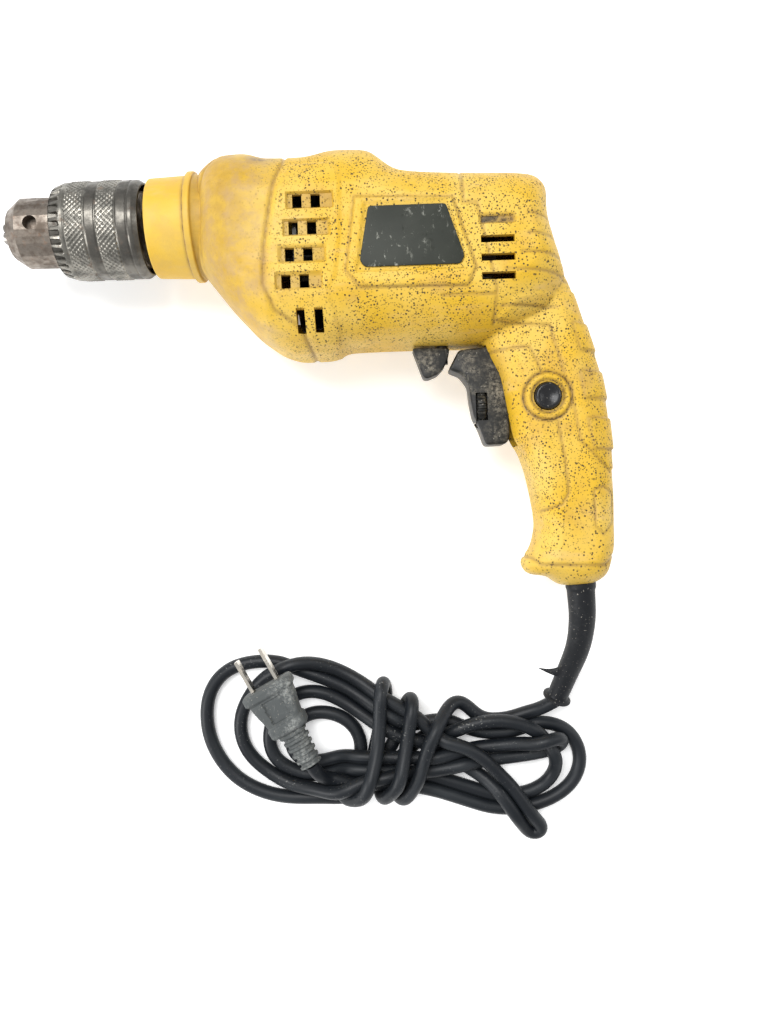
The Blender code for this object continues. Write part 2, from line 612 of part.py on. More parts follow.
def chuck():
    """A keyed three-jaw chuck: body, geared sleeve, nut, jaws and its screw."""
    jaw_front = NOSE_FRONT - JAW_PROUD
    body = turned("chuck_body", [
        (NOSE_FRONT, CHUCK_BORE), (NOSE_FRONT, NOSE_RADIUS - 4.0), (NOSE_FRONT + 5.5, NOSE_RADIUS),
        (SLEEVE_FRONT + 1.8, NOSE_RADIUS),
        (SLEEVE_FRONT + 1.8, nut_bore(SLEEVE_FRONT + 1.8) - 2 * GAP),
        (NUT_FRONT + NUT_WIDTH + GAP, nut_bore(NUT_FRONT + NUT_WIDTH) - 2 * GAP),
        (NUT_FRONT + NUT_WIDTH + GAP, SLEEVE_BORE - GAP), (SLEEVE_REAR + 1.0, SLEEVE_BORE - GAP),
        (CHUCK_REAR, SLEEVE_BORE - 3.0), (CHUCK_REAR, SPINDLE_RADIUS + GAP),
        (CHUCK_REAR - THREAD_DEPTH, SPINDLE_RADIUS + GAP), (CHUCK_REAR - THREAD_DEPTH, CHUCK_BORE),
    ], STEEL)
    tip_radius, rear = JAW_TIP_OFFSET, JAW_LENGTH * math.cos(JAW_ANGLE)
    slope = math.tan(JAW_ANGLE)
    for number in range(3):
        angle = math.pi / 3 + number * 2 * math.pi / 3
        far = rear + (JAW_TRAVEL + 2.0) * math.cos(JAW_ANGLE)
        y0, z0 = at_angle(tip_radius - 3.0 * slope, angle)
        y1, z1 = at_angle(tip_radius + far * slope, angle)
        cut(body, rod(f"jaw_track_{number}", (jaw_front - 3.0, y0, z0), (jaw_front + far, y1, z1),
                      JAW_RADIUS + GAP, sides=16))
        y1, z1 = at_angle(tip_radius + rear * slope, angle)
        y0, z0 = at_angle(tip_radius, angle)
        jaw = rod(f"chuck_jaw_{number + 1}", (jaw_front, y0, z0), (jaw_front + rear, y1, z1),
                  JAW_RADIUS, DARK_STEEL, sides=16, place=(jaw_front, y0, z0))
        wedge = [at_angle(JAW_CLEARANCE / math.sin(math.pi / 3), angle),
                 at_angle(40.0, angle - math.pi / 3), at_angle(60.0, angle),
                 at_angle(40.0, angle + math.pi / 3)]
        sector = slab_x(f"jaw_sector_{number}", wedge, jaw_front - 5.0, SLEEVE_REAR)
        combine(jaw, sector, "INTERSECT")
        hole_angle = angle + math.pi / 3
        y0, z0 = at_angle(NOSE_RADIUS - KEY_HOLE_DEPTH, hole_angle)
        y1, z1 = at_angle(NOSE_RADIUS + 5.0, hole_angle)
        x = NOSE_FRONT + KEY_HOLE_FROM_NOSE
        cut(body, rod(f"key_hole_{number}", (x, y0, z0), (x, y1, z1), KEY_HOLE_RADIUS, sides=20))
    turned("chuck_sleeve", [
        (SLEEVE_FRONT, NOSE_RADIUS + GAP), (SLEEVE_FRONT, SLEEVE_RADIUS - 2.4),
        (SLEEVE_FRONT + 3.0, SLEEVE_RADIUS), (SLEEVE_REAR - 1.0, SLEEVE_RADIUS),
        (SLEEVE_REAR, SLEEVE_RADIUS - 1.0), (SLEEVE_REAR, SLEEVE_BORE),
        (SLEEVE_FRONT + 1.5, SLEEVE_BORE), (SLEEVE_FRONT + 1.5, NOSE_RADIUS + GAP),
    ], DARK_STEEL, steps=40)
    turned("chuck_nut", [
        (NUT_FRONT, nut_bore(NUT_FRONT)), (NUT_FRONT, SLEEVE_BORE - GAP),
        (NUT_FRONT + NUT_WIDTH, SLEEVE_BORE - GAP), (NUT_FRONT + NUT_WIDTH, nut_bore(NUT_FRONT + NUT_WIDTH)),
    ], STEEL)
    head = CHUCK_REAR - THREAD_DEPTH
    turned("chuck_screw", [
        (head - 3.0, 0.0), (head - 3.0, CHUCK_SCREW_RADIUS + 1.6), (head, CHUCK_SCREW_RADIUS + 1.6),
        (head, CHUCK_SCREW_RADIUS), (CHUCK_REAR + 3.0, CHUCK_SCREW_RADIUS), (CHUCK_REAR + 3.0, 0.0),
    ], DARK_STEEL, steps=16)


def nut_bore(x):
    """The nut's inner radius, which follows the jaws' outer side."""
    axis = JAW_TIP_OFFSET + (x - NOSE_FRONT + JAW_PROUD) * math.tan(JAW_ANGLE)
    return axis + (JAW_RADIUS + GAP) / math.cos(JAW_ANGLE) + GAP


def motor():
    """The armature line below the spindle: pinion shaft, fan, core, commutator, stator and brushes."""
    y = MOTOR_Y
    pinion_rear = GEAR_FRONT + GEAR_WIDTH + HAMMER_TRAVEL + GAP
    shaft = slab_x("armature_shaft", gear_outline(PINION_TEETH, y, 0.0), GEAR_FRONT,
                   pinion_rear + 1.0, STEEL, (GEAR_FRONT, y, CENTRE_Z))
    join(shaft, rod("shaft_rod", (pinion_rear, y, CENTRE_Z), (SHAFT_REAR, y, CENTRE_Z),
                    SHAFT_RADIUS, sides=20))
    bore = SHAFT_RADIUS + GAP
    ring("armature_front_bearing", FAN_FRONT - 2.0 - MOTOR_BEARING_WIDTH, FAN_FRONT - 2.0, bore,
         FRONT_BEARING_RADIUS, STEEL, y, 24)
    ring("armature_rear_bearing", SHAFT_REAR - MOTOR_BEARING_WIDTH, SHAFT_REAR - GAP, bore,
         MOTOR_BEARING_RADIUS, STEEL, y, 24)
    fan = turned("cooling_fan", [
        (FAN_FRONT, bore), (FAN_FRONT, FAN_RADIUS), (FAN_FRONT + 1.6, FAN_RADIUS),
        (FAN_FRONT + 1.6, 9.0), (FAN_FRONT + FAN_WIDTH, 9.0), (FAN_FRONT + FAN_WIDTH, bore),
    ], BLACK, y, 36)
    for blade in range(FAN_BLADES):
        angle = 2 * math.pi * blade / FAN_BLADES
        vane = box(f"fan_blade_{blade}", (FAN_FRONT + 1.0, -0.7, 13.0),
                   (FAN_FRONT + FAN_WIDTH, 0.7, FAN_RADIUS - 0.6))
        place = Matrix.Translation(Vector((0.0, y, CENTRE_Z)) * MM)
        vane.matrix_world = place @ Matrix.Rotation(angle, 4, "X")
        join(fan, vane)
    ring("armature_core", CORE_FRONT, CORE_FRONT + CORE_LENGTH, bore, CORE_RADIUS, DARK_STEEL, y)
    ring("commutator", COMMUTATOR_FRONT, COMMUTATOR_FRONT + COMMUTATOR_LENGTH, bore,
         COMMUTATOR_RADIUS, COPPER, y)
    stator = ring("stator_core", CORE_FRONT, CORE_FRONT + CORE_LENGTH, CORE_RADIUS + AIR_GAP,
                  STATOR_RADIUS, DARK_STEEL, y)
    inner, outer = CORE_RADIUS + AIR_GAP - 1.0, COIL_OUTER
    low, high = inner + 1.0 + GAP, outer - GAP
    reach = COIL_REACH - GAP
    for number, side in enumerate((1, -1), 1):
        z0, z1 = sorted((CENTRE_Z + side * inner, CENTRE_Z + side * outer))
        cut(stator, box(f"coil_slot_{number}", (CORE_FRONT - 1.0, y - COIL_REACH, z0),
                        (CORE_FRONT + CORE_LENGTH + 1.0, y + COIL_REACH, z1)))
        z0, z1 = sorted((CENTRE_Z + side * low, CENTRE_Z + side * high))
        coil = box(f"field_coil_{number}", (CORE_FRONT - COIL_OVERHANG, y - reach, z0),
                   (CORE_FRONT + CORE_LENGTH + COIL_OVERHANG, y + reach, z1), COPPER,
                   (CORE_FRONT, y, CENTRE_Z))
        coil.modifiers.new("Bevel", "BEVEL").width = 1.5 * MM
        brush_gear(number, side)


def brush_gear(number, side):
    """One carbon brush in its holder, with the spring that presses it on the commutator."""
    x, y = COMMUTATOR_FRONT + COMMUTATOR_LENGTH / 2, MOTOR_Y
    length, width = BRUSH_SIZE[0] / 2, BRUSH_SIZE[1] / 2
    face = COMMUTATOR_RADIUS + GAP

    def span(low, high):
        return sorted((CENTRE_Z + side * low, CENTRE_Z + side * high))

    low, high = span(face, face + BRUSH_LENGTH)
    box(f"carbon_brush_{number}", (x - length, y - width, low), (x + length, y + width, high), CARBON,
        (x, y, CENTRE_Z + side * face))
    clear, wall = GAP, GAP + HOLDER_WALL
    low, high = span(face + 2.0, face + HOLDER_LENGTH)
    holder = box(f"brush_holder_{number}", (x - length - wall, y - width - wall, low),
                 (x + length + wall, y + width + wall, high), BRASS, (x, y, low))
    low, high = span(face + 1.0, face + HOLDER_LENGTH - 1.2)
    cut(holder, box(f"holder_bore_{number}", (x - length - clear, y - width - clear, low),
                    (x + length + clear, y + width + clear, high)))
    start, end = face + BRUSH_LENGTH + 0.5 + GAP, face + HOLDER_LENGTH - 1.2 - 0.5 - GAP
    count = 4 * 8 + 1
    coil = []
    for i in range(count):
        angle = 2 * math.pi * 4 * i / (count - 1)
        height = start + (end - start) * i / (count - 1)
        coil.append((x + 1.7 * math.cos(angle), y + 1.7 * math.sin(angle), CENTRE_Z + side * height))
    tube(f"brush_spring_{number}", coil, [0.4] * count, STEEL, resolution=0)


def controls():
    """Trigger with its dial, reversing lever, lock-on button, mode selector and switch."""
    low, high = CENTRE_Z - TRIGGER_WIDTH / 2, CENTRE_Z + TRIGGER_WIDTH / 2
    trigger = plate("trigger", TRIGGER_OUTLINE, low, high, BLACK, (*TRIGGER_OUTLINE[0], CENTRE_Z))
    pocket = DIAL_WIDTH / 2 + GAP
    x, y = DIAL_PLACE
    cut(trigger, box("dial_pocket", (x - pocket, y - DIAL_RADIUS - GAP, low - 1.0),
                     (x + pocket, y + DIAL_RADIUS + GAP, high + 1.0)))
    rod("speed_dial", (x - DIAL_WIDTH / 2, y, CENTRE_Z), (x + DIAL_WIDTH / 2, y, CENTRE_Z),
        DIAL_RADIUS, BLACK, 24, place=(x, y, CENTRE_Z))
    lever = plate("reverse_lever", LEVER_OUTLINE, CENTRE_Z - LEVER_WIDTH / 2,
                  CENTRE_Z + LEVER_WIDTH / 2, BLACK, (*LEVER_PIVOT, CENTRE_Z))
    x, y = LEVER_PIVOT
    join(lever, rod("lever_stem", (x, y, CENTRE_Z), (x, y + LEVER_STEM, CENTRE_Z), LEVER_STEM_RADIUS))
    top = button_top()
    turned_z("lock_button", BUTTON_PLACE, [
        (0.0, top), (BUTTON_RADIUS - 1.0, top), (BUTTON_RADIUS, top - 1.0),
        (BUTTON_RADIUS, top - BUTTON_DEPTH), (0.0, top - BUTTON_DEPTH)])
    low = CENTRE_Z - (SELECTOR_WIDTH + SELECTOR_TRAVEL) / 2
    high = low + SELECTOR_WIDTH
    knob = box("mode_selector", (SELECTOR_X[0], BODY_TOP + SELECTOR_PROUD - SELECTOR_THICKNESS, low),
               (SELECTOR_X[1], BODY_TOP + SELECTOR_PROUD, high), BLACK,
               (sum(SELECTOR_X) / 2, BODY_TOP, CENTRE_Z))
    knob.modifiers.new("Bevel", "BEVEL").width = 0.6 * MM
    boxes = (("switch_body", SWITCH_BOX), ("interference_capacitor", CAPACITOR_BOX))
    for name, (low, high) in boxes:
        box(name, (*low[:2], CENTRE_Z + low[2]), (*high[:2], CENTRE_Z + high[2]), INSULATOR,
            (*low[:2], CENTRE_Z))


def clamp_and_label():
    """The clip that holds the lead in the handle, its screws, and the plate on the upper side."""
    low, high = CLAMP_BOX
    y, top = (low[1] + high[1]) / 2, CENTRE_Z + high[2]
    clamp = box("cable_clamp", (*low[:2], CENTRE_Z + low[2]), (*high[:2], top), INSULATOR,
                (low[0], y, top))
    for number, x in enumerate(CLAMP_SCREWS, 1):
        cut(clamp, rod(f"clamp_hole_{number}", (x, y, CENTRE_Z), (x, y, top + 1.0), SCREW_RADIUS,
                       sides=12))
        turned_z(f"clamp_screw_{number}", (x, y), [
            (0.0, top + 2.0), (SCREW_HEAD_RADIUS, top + 2.0), (SCREW_HEAD_RADIUS, top + GAP),
            (SCREW_RADIUS - GAP, top + GAP), (SCREW_RADIUS - GAP, CENTRE_Z + low[2]),
            (0.0, CENTRE_Z + low[2]),
        ], DARK_STEEL, 12)
    top = 2 * BODY_HALF
    plate("label_plate", LABEL_OUTLINE, top + GAP / 2, top + GAP / 2 + LABEL_THICKNESS, LABEL,
          (0.0, -18.0, top))


def turned_z(name, centre, profile, look=BLACK, steps=24):
    """Turn a solid profile of (radius, height) about a vertical axis, from its top down."""
    mesh = bpy.data.meshes.new(name)
    edges = [(i, i + 1) for i in range(len(profile) - 1)]
    mesh.from_pydata([(r * MM, 0.0, z * MM) for r, z in profile], edges, [])
    obj = bpy.data.objects.new(name, mesh)
    screw = obj.modifiers.new("Screw", "SCREW")
    screw.steps = screw.render_steps = steps
    screw.use_merge_vertices = True
    screw.merge_threshold = 0.00001
    mesh.materials.append(material(look))
    obj.location = (centre[0] * MM, centre[1] * MM, 0.0)
    PARTS.objects.link(obj)
    return obj


def button_top():
    return CENTRE_Z + HANDLE_HALF + BUTTON_PROUD


def fasteners():
    """The screws that close the housing, from its right side."""
    for number, place in enumerate(SCREW_PLACES, 1):
        low, high = screw_span(place)
        turned_z(f"housing_screw_{number}", place, [
            (0.0, high - WALL - 1.0), (SCREW_RADIUS, high - WALL - 1.0),
            (SCREW_RADIUS, low + SCREW_HEAD_DEPTH), (SCREW_HEAD_RADIUS, low + SCREW_HEAD_DEPTH),
            (SCREW_HEAD_RADIUS, low + 0.4), (0.0, low + 0.4),
        ], DARK_STEEL, 12)


def lead():
    """The lead: its boot, the bundle that it is wound into, and its plug."""
    radii = [radius for radius, _, _ in smooth_route([(r, 0.0, 0.0) for r in BOOT_RADII], 13)]
    tube("cord_boot", smooth_route(BOOT_ROUTE, 13), radii, RUBBER, resolution=2)
    tube("cord_lead", smooth_route(LEAD_ROUTE, 5), [CORD_RADIUS] * 5, RUBBER, resolution=2)
    bundle = plate("cord_hank", HANK_OUTLINE, 0.2, HANK_HEIGHT, RUBBER, (0.0, -240.0, 0.0))
    join(bundle, plate("hank_waist", WAIST_OUTLINE, 0.6, WAIST_HEIGHT))
    tube("cord_tail", smooth_route(TAIL_ROUTE, 7), [CORD_RADIUS] * 7, RUBBER, resolution=2)
    plug()


def plug():
    """The moulded plug lies on the bundle, with two flat blades."""
    frame = Matrix.Translation(Vector((*PLUG_FACE, PLUG_HEIGHT)) * MM)
    frame = frame @ Matrix.Rotation(PLUG_TURN, 4, "Z")
    half, thick = PLUG_WIDTH / 2, PLUG_THICKNESS / 2
    side = [(0.0, half), (5.0, half), (19.0, 9.5), (24.0, 9.0), (26.0, 6.5), (PLUG_LENGTH, 5.0)]
    outline = side + [(x, -y) for x, y in reversed(side)]
    body = plate("plug_body", outline, -thick, thick, RUBBER)
    body.modifiers.new("Bevel", "BEVEL").width = 2.0 * MM
    body.matrix_world = frame
    for number, side in enumerate((1, -1), 1):
        y = side * BLADE_SPACING / 2
        blade = box(f"plug_blade_{number}", (-BLADE_LENGTH, y - BLADE_THICKNESS / 2, -BLADE_WIDTH / 2),
                    (-GAP, y + BLADE_THICKNESS / 2, BLADE_WIDTH / 2), STEEL)
        blade.matrix_world = frame


clear_scene()
PARTS = new_collection("corded_hammer_drill")
CUTTERS = new_collection("cutters")
housing()
collar()
spindle_train()
chuck()
motor()
controls()
clamp_and_label()
fasteners()
lead()
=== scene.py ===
# %% [markdown]
# # A well-used corded hammer drill
# The drill lies on its right side with its lead bundled in front of it. Everything is in metres, in
# the same frame as the engineering model, so each surface below starts from a number of that model:
# X runs from the chuck to the rear of the motor, +Y to the top edge of the housing, and +Z up.

# %% Load the frame
import math

import bpy
import numpy as np
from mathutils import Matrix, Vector


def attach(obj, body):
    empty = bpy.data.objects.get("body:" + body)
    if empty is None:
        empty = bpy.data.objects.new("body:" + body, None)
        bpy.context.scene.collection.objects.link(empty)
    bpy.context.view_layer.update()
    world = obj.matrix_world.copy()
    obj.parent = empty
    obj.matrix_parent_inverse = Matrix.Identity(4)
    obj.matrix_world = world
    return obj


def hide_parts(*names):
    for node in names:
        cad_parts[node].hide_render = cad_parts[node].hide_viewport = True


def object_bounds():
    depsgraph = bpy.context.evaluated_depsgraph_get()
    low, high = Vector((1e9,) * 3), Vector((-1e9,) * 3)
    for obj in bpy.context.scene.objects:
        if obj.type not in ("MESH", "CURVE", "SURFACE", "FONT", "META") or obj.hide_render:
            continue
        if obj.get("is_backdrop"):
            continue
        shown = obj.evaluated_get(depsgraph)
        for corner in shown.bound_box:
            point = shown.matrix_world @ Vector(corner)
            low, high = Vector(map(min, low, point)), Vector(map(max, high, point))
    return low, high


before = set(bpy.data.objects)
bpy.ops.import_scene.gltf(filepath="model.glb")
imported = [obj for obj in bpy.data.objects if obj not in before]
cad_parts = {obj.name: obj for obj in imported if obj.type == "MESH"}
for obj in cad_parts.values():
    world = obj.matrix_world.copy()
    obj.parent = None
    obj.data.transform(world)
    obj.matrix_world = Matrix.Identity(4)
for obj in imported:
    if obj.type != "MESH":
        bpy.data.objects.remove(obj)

CAD_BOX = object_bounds()
MM = 0.001  # one millimetre, in metres
MIDDLE = 0.035  # height of the plane where the two halves of the drill meet, in metres

# %% [markdown]
# ## Camera, floor and light
# The camera looks straight down from 37 cm above the drill's middle plane, turned by two degrees. A
# plain pale floor and three large soft lamps stand in for a bright tabletop: the large overhead lamp
# gives the even light, and the two side lamps draw the edges of the mouldings.

# %% Camera
camera_data = bpy.data.cameras.new("camera")
camera_data.lens = 28.85
camera_data.sensor_width = 36.0
camera = bpy.data.objects.new("camera", camera_data)
camera.location = (-0.018, -0.132, 0.408)
camera.rotation_euler = (0.0, 0.0, -math.radians(2.1))
bpy.context.scene.collection.objects.link(camera)
bpy.context.scene.camera = camera
print("camera height above the floor, mm:", round(camera.location.z * 1000))


# %% Shader expressions
class Value:
    """A shader socket that Python's own operators work on: each operator adds one Math node."""

    def __init__(self, paint, socket):
        self.paint, self.tree, self.socket = paint, paint.tree, socket

    def math(self, operation, *others):
        node = self.tree.nodes.new("ShaderNodeMath")
        node.operation = operation
        for slot_number, item in enumerate((self, *others)):
            plug_in(self.tree, node.inputs[slot_number], item)
        return Value(self.paint, node.outputs[0])

    def __add__(self, other):
        return self.math("ADD", other)

    def __mul__(self, other):
        return self.math("MULTIPLY", other)

    def __sub__(self, other):
        return self.math("SUBTRACT", other)

    def __rsub__(self, other):
        return (self * -1.0) + other

    def clamp(self):
        return self.math("MAXIMUM", 0.0).math("MINIMUM", 1.0)

    def step(self, low, high):
        """A smooth rise from 0 at low to 1 at high."""
        return self.paint.node("ShaderNodeMapRange", "Result", {"interpolation_type": "SMOOTHSTEP"},
                               Value=self, From_Min=low, From_Max=high)

    __radd__, __rmul__ = __add__, __mul__


def plug_in(tree, socket, item):
    """Links a Value to a socket, or sets the socket to a plain number or colour."""
    if isinstance(item, Value):
        tree.links.new(item.socket, socket)
    else:
        socket.default_value = item


class Paint:
    """One material, written as expressions. node() adds any node by its type."""

    SPECULAR = 0.32
    MIX_LOW, MIX_HIGH, MIX_RESULT = 6, 7, 2  # the Mix node's colour sockets

    def __init__(self, name):
        self.material = bpy.data.materials.new(name)
        self.material.use_nodes = True
        self.tree = self.material.node_tree
        self.shader = self.tree.nodes["Principled BSDF"]
        self.place = self.node("ShaderNodeTexCoord", "Object")

    def node(self, kind, output, settings=None, **inputs):
        node = self.tree.nodes.new(kind)
        for key, setting in (settings or {}).items():
            setattr(node, key, setting)
        for key, item in inputs.items():
            wanted = key.replace("_", " ")
            socket = next(s for s in node.inputs if s.enabled and s.name == wanted)
            plug_in(self.tree, socket, item)
        return Value(self, next(s for s in node.outputs if s.enabled and s.name == output))

    def noise(self, size, detail=3.0, rough=0.5, stretch=(1.0, 1.0, 1.0), offset=0.0):
        """Cloudy noise whose lumps are about size metres across."""
        place = self.node("ShaderNodeMapping", "Vector", None, Vector=self.place,
                          Location=(offset, offset * 0.7, offset * 1.3), Scale=stretch)
        return self.node("ShaderNodeTexNoise", "Fac", None, Vector=place, Scale=1.0 / size,
                         Detail=detail, Roughness=rough)

    def cells(self, size, offset=0.0):
        """Distance to the nearest of scattered points that are about size metres apart."""
        place = self.node("ShaderNodeMapping", "Vector", None, Vector=self.place,
                          Location=(offset, offset, offset))
        return self.node("ShaderNodeTexVoronoi", "Distance", None, Vector=place, Scale=1.0 / size)

    def mark(self, name):
        """A number that the mesh carries at each point."""
        return self.node("ShaderNodeAttribute", "Fac", {"attribute_name": name})

    def mix(self, factor, low, high):
        low, high = ((*c, 1.0) if isinstance(c, tuple) and len(c) == 3 else c for c in (low, high))
        node = self.tree.nodes.new("ShaderNodeMix")
        node.data_type = "RGBA"
        plug_in(self.tree, node.inputs["Factor"], factor)
        plug_in(self.tree, node.inputs[self.MIX_LOW], low)
        plug_in(self.tree, node.inputs[self.MIX_HIGH], high)
        return Value(self, node.outputs[self.MIX_RESULT])

    def bump(self, height, depth, below=None):
        """A relief of that depth in metres, on top of an earlier one."""
        inputs = {"Height": height, "Distance": depth, "Strength": 1.0}
        if below is not None:
            inputs["Normal"] = below
        return self.node("ShaderNodeBump", "Normal", None, **inputs)

    def finish(self, colour, roughness, normal=None, metallic=0.0, **fixed):
        if isinstance(colour, tuple):
            colour = (*colour, 1.0)
        plug_in(self.tree, self.shader.inputs["Base Color"], colour)
        plug_in(self.tree, self.shader.inputs["Roughness"], roughness)
        plug_in(self.tree, self.shader.inputs["Metallic"], metallic)
        self.shader.inputs["Specular IOR Level"].default_value = self.SPECULAR
        if normal is not None:
            plug_in(self.tree, self.shader.inputs["Normal"], normal)
        for key, item in fixed.items():
            self.shader.inputs[key.replace("_", " ")].default_value = item
        return self.material


print("shader words ready:", [w for w in dir(Paint) if not w.startswith("_")])

# %% [markdown]
# ## How surfaces are made
# Every new piece is a grid of points worked out at once by numpy: one number runs along the piece
# and the other runs round it. `skin` turns such a grid into a mesh with closed ends.


# %% Meshes from grids
def grid_faces(rows, around, hoop=False):
    """The four-sided faces of a grid whose rows go round. A hoop's last row joins its first, and any
    other grid is closed with a flat cap at each end."""
    i, j = np.meshgrid(np.arange(rows if hoop else rows - 1), np.arange(around), indexing="ij")
    below, after = (i + 1) % rows, (j + 1) % around
    corners = (i * around + j, i * around + after, below * around + after, below * around + j)
    faces = np.stack(corners, axis=-1).reshape(-1, 4).tolist()
    if not hoop:
        faces += [list(range(around))[::-1], list(range((rows - 1) * around, rows * around))]
    return faces


def plain_mesh(name, points, faces):
    """A mesh whose faces look outwards: it is turned over if its volume comes out negative."""
    points = np.asarray(points, float)
    mesh = bpy.data.meshes.new(name)
    mesh.from_pydata(points.tolist(), [], faces)
    fans = np.array([(face[0], a, b) for face in faces for a, b in zip(face[1:], face[2:])])
    a, b, c = (points[fans[:, k]] for k in range(3))
    if np.einsum("ij,ij->i", a, np.cross(b, c)).sum() < 0:
        mesh.flip_normals()
    return mesh


def grid_mesh(name, grid):
    return plain_mesh(name, grid.reshape(-1, 3), grid_faces(*grid.shape[:2]))


def add_object(name, data):
    """An object at the origin, in the scene."""
    obj = bpy.data.objects.new(name, data)
    bpy.context.scene.collection.objects.link(obj)
    return obj


def dress(mesh, finish, smooth_angle):
    """Gives a mesh one finish, and smooth shading over edges up to an angle in degrees."""
    mesh.materials.clear()
    mesh.materials.append(finish)
    mesh.polygons.foreach_set("material_index", np.zeros(len(mesh.polygons), np.int32))
    mesh.shade_smooth()
    mesh.set_sharp_from_angle(angle=math.radians(smooth_angle))


def skin(name, grid, finish, body, smooth_angle=40.0, marks=None, hoop=False):
    """A finished piece that rides on a body, whose point (i, j) is grid[i, j]: rows follow one
    another along the piece, and each row goes once round it."""
    mesh = plain_mesh(name, grid.reshape(-1, 3), grid_faces(*grid.shape[:2], hoop))
    for key, numbers in (marks or {}).items():
        mesh.attributes.new(key, "FLOAT", "POINT").data.foreach_set("value", numbers.ravel())
    dress(mesh, finish, smooth_angle)
    obj = add_object(name, mesh)
    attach(obj, body)
    return obj


def spline(points, step):
    """Equal steps along the smooth curve through points: on each span the place is the cubic
    0.5 * (2b + (c-a)t + (2a-5b+4c-d)t^2 + (3b-3c+d-a)t^3) of the four points round it."""
    points = np.asarray(points, float)
    ends = np.vstack([2 * points[0] - points[1], points, 2 * points[-1] - points[-2]])
    t = np.linspace(0.0, 1.0, 17)[:-1, None, None]
    a, b, c, d = ends[:-3], ends[1:-2], ends[2:-1], ends[3:]
    cubic = 0.5 * (2 * b + (c - a) * t + (2 * a - 5 * b + 4 * c - d) * t ** 2
                   + (3 * b - 3 * c + d - a) * t ** 3)
    fine = np.vstack([cubic.transpose(1, 0, 2).reshape(-1, points.shape[1]), points[-1:]])
    run = np.r_[0.0, np.cumsum(np.linalg.norm(np.diff(fine, axis=0), axis=1))]
    at = np.linspace(0.0, run[-1], int(round(run[-1] / step)) + 1)
    return np.stack([np.interp(at, run, fine[:, k]) for k in range(fine.shape[1])], axis=1)


def frames_along(path):
    """Directions ahead, aside and above at each point of a path. The side direction is carried from
    point to point with its part along the path taken off, so it doesn't spin."""
    ahead = np.gradient(path, axis=0)
    ahead /= np.linalg.norm(ahead, axis=1)[:, None]
    aside = np.empty_like(ahead)
    side = np.cross(ahead[0], (0.3, 0.2, 1.0))
    for k, direction in enumerate(ahead):
        side = side - direction * side.dot(direction)
        side /= np.linalg.norm(side)
        aside[k] = side
    return ahead, aside, np.cross(ahead, aside)


def tube_grid(path, radii, sides):
    """Circles square to a path: place = path + radius * (cos a * aside + sin a * above)."""
    _, aside, above = frames_along(path)
    angle = np.linspace(0.0, 2 * np.pi, sides, endpoint=False)
    c, s = np.cos(angle)[None, :, None], np.sin(angle)[None, :, None]
    circle = c * aside[:, None] + s * above[:, None]
    return path[:, None] + np.asarray(radii).reshape(-1, 1, 1) * circle


def lathe_grid(profile, sides, axis_y=0.0, swell=None):
    """Turn (x, radius) points about an axis along X: y = axis + r sin a, z = middle + r cos a. swell
    gives a change of radius in mm from the place along the profile and the angle."""
    profile = np.asarray(profile, float)
    angle = np.linspace(0.0, 2 * np.pi, sides, endpoint=False)
    x = np.repeat(profile[:, :1], sides, axis=1)
    r = np.repeat(profile[:, 1:], sides, axis=1)
    if swell is not None:
        r = r + swell(x, angle[None, :])
    y = axis_y * MM + r * MM * np.sin(angle)
    return np.stack([x * MM, y, MIDDLE + r * MM * np.cos(angle)], axis=-1)


def fine_profile(corners, step, fillet=0.5):
    """A profile with each corner cut by a small arc, and points every step along it."""
    corners = np.asarray(corners, float)
    found = [corners[0]]
    for before, corner, after in zip(corners, corners[1:], corners[2:]):
        back, on = before - corner, after - corner
        reach = min(fillet, 0.45 * np.linalg.norm(back), 0.45 * np.linalg.norm(on))
        back, on = back / np.linalg.norm(back) * reach, on / np.linalg.norm(on) * reach
        for t in (0.0, 0.25, 0.5, 0.75, 1.0):
            found.append(corner + back * (1 - t) ** 2 + on * t ** 2)
    found.append(corners[-1])
    out = [found[0]]
    for a, b in zip(found, found[1:]):
        count = max(1, int(np.linalg.norm(b - a) / step))
        out += [a + (b - a) * k / count for k in range(1, count + 1)]
    return np.array(out)


print("surface makers ready")
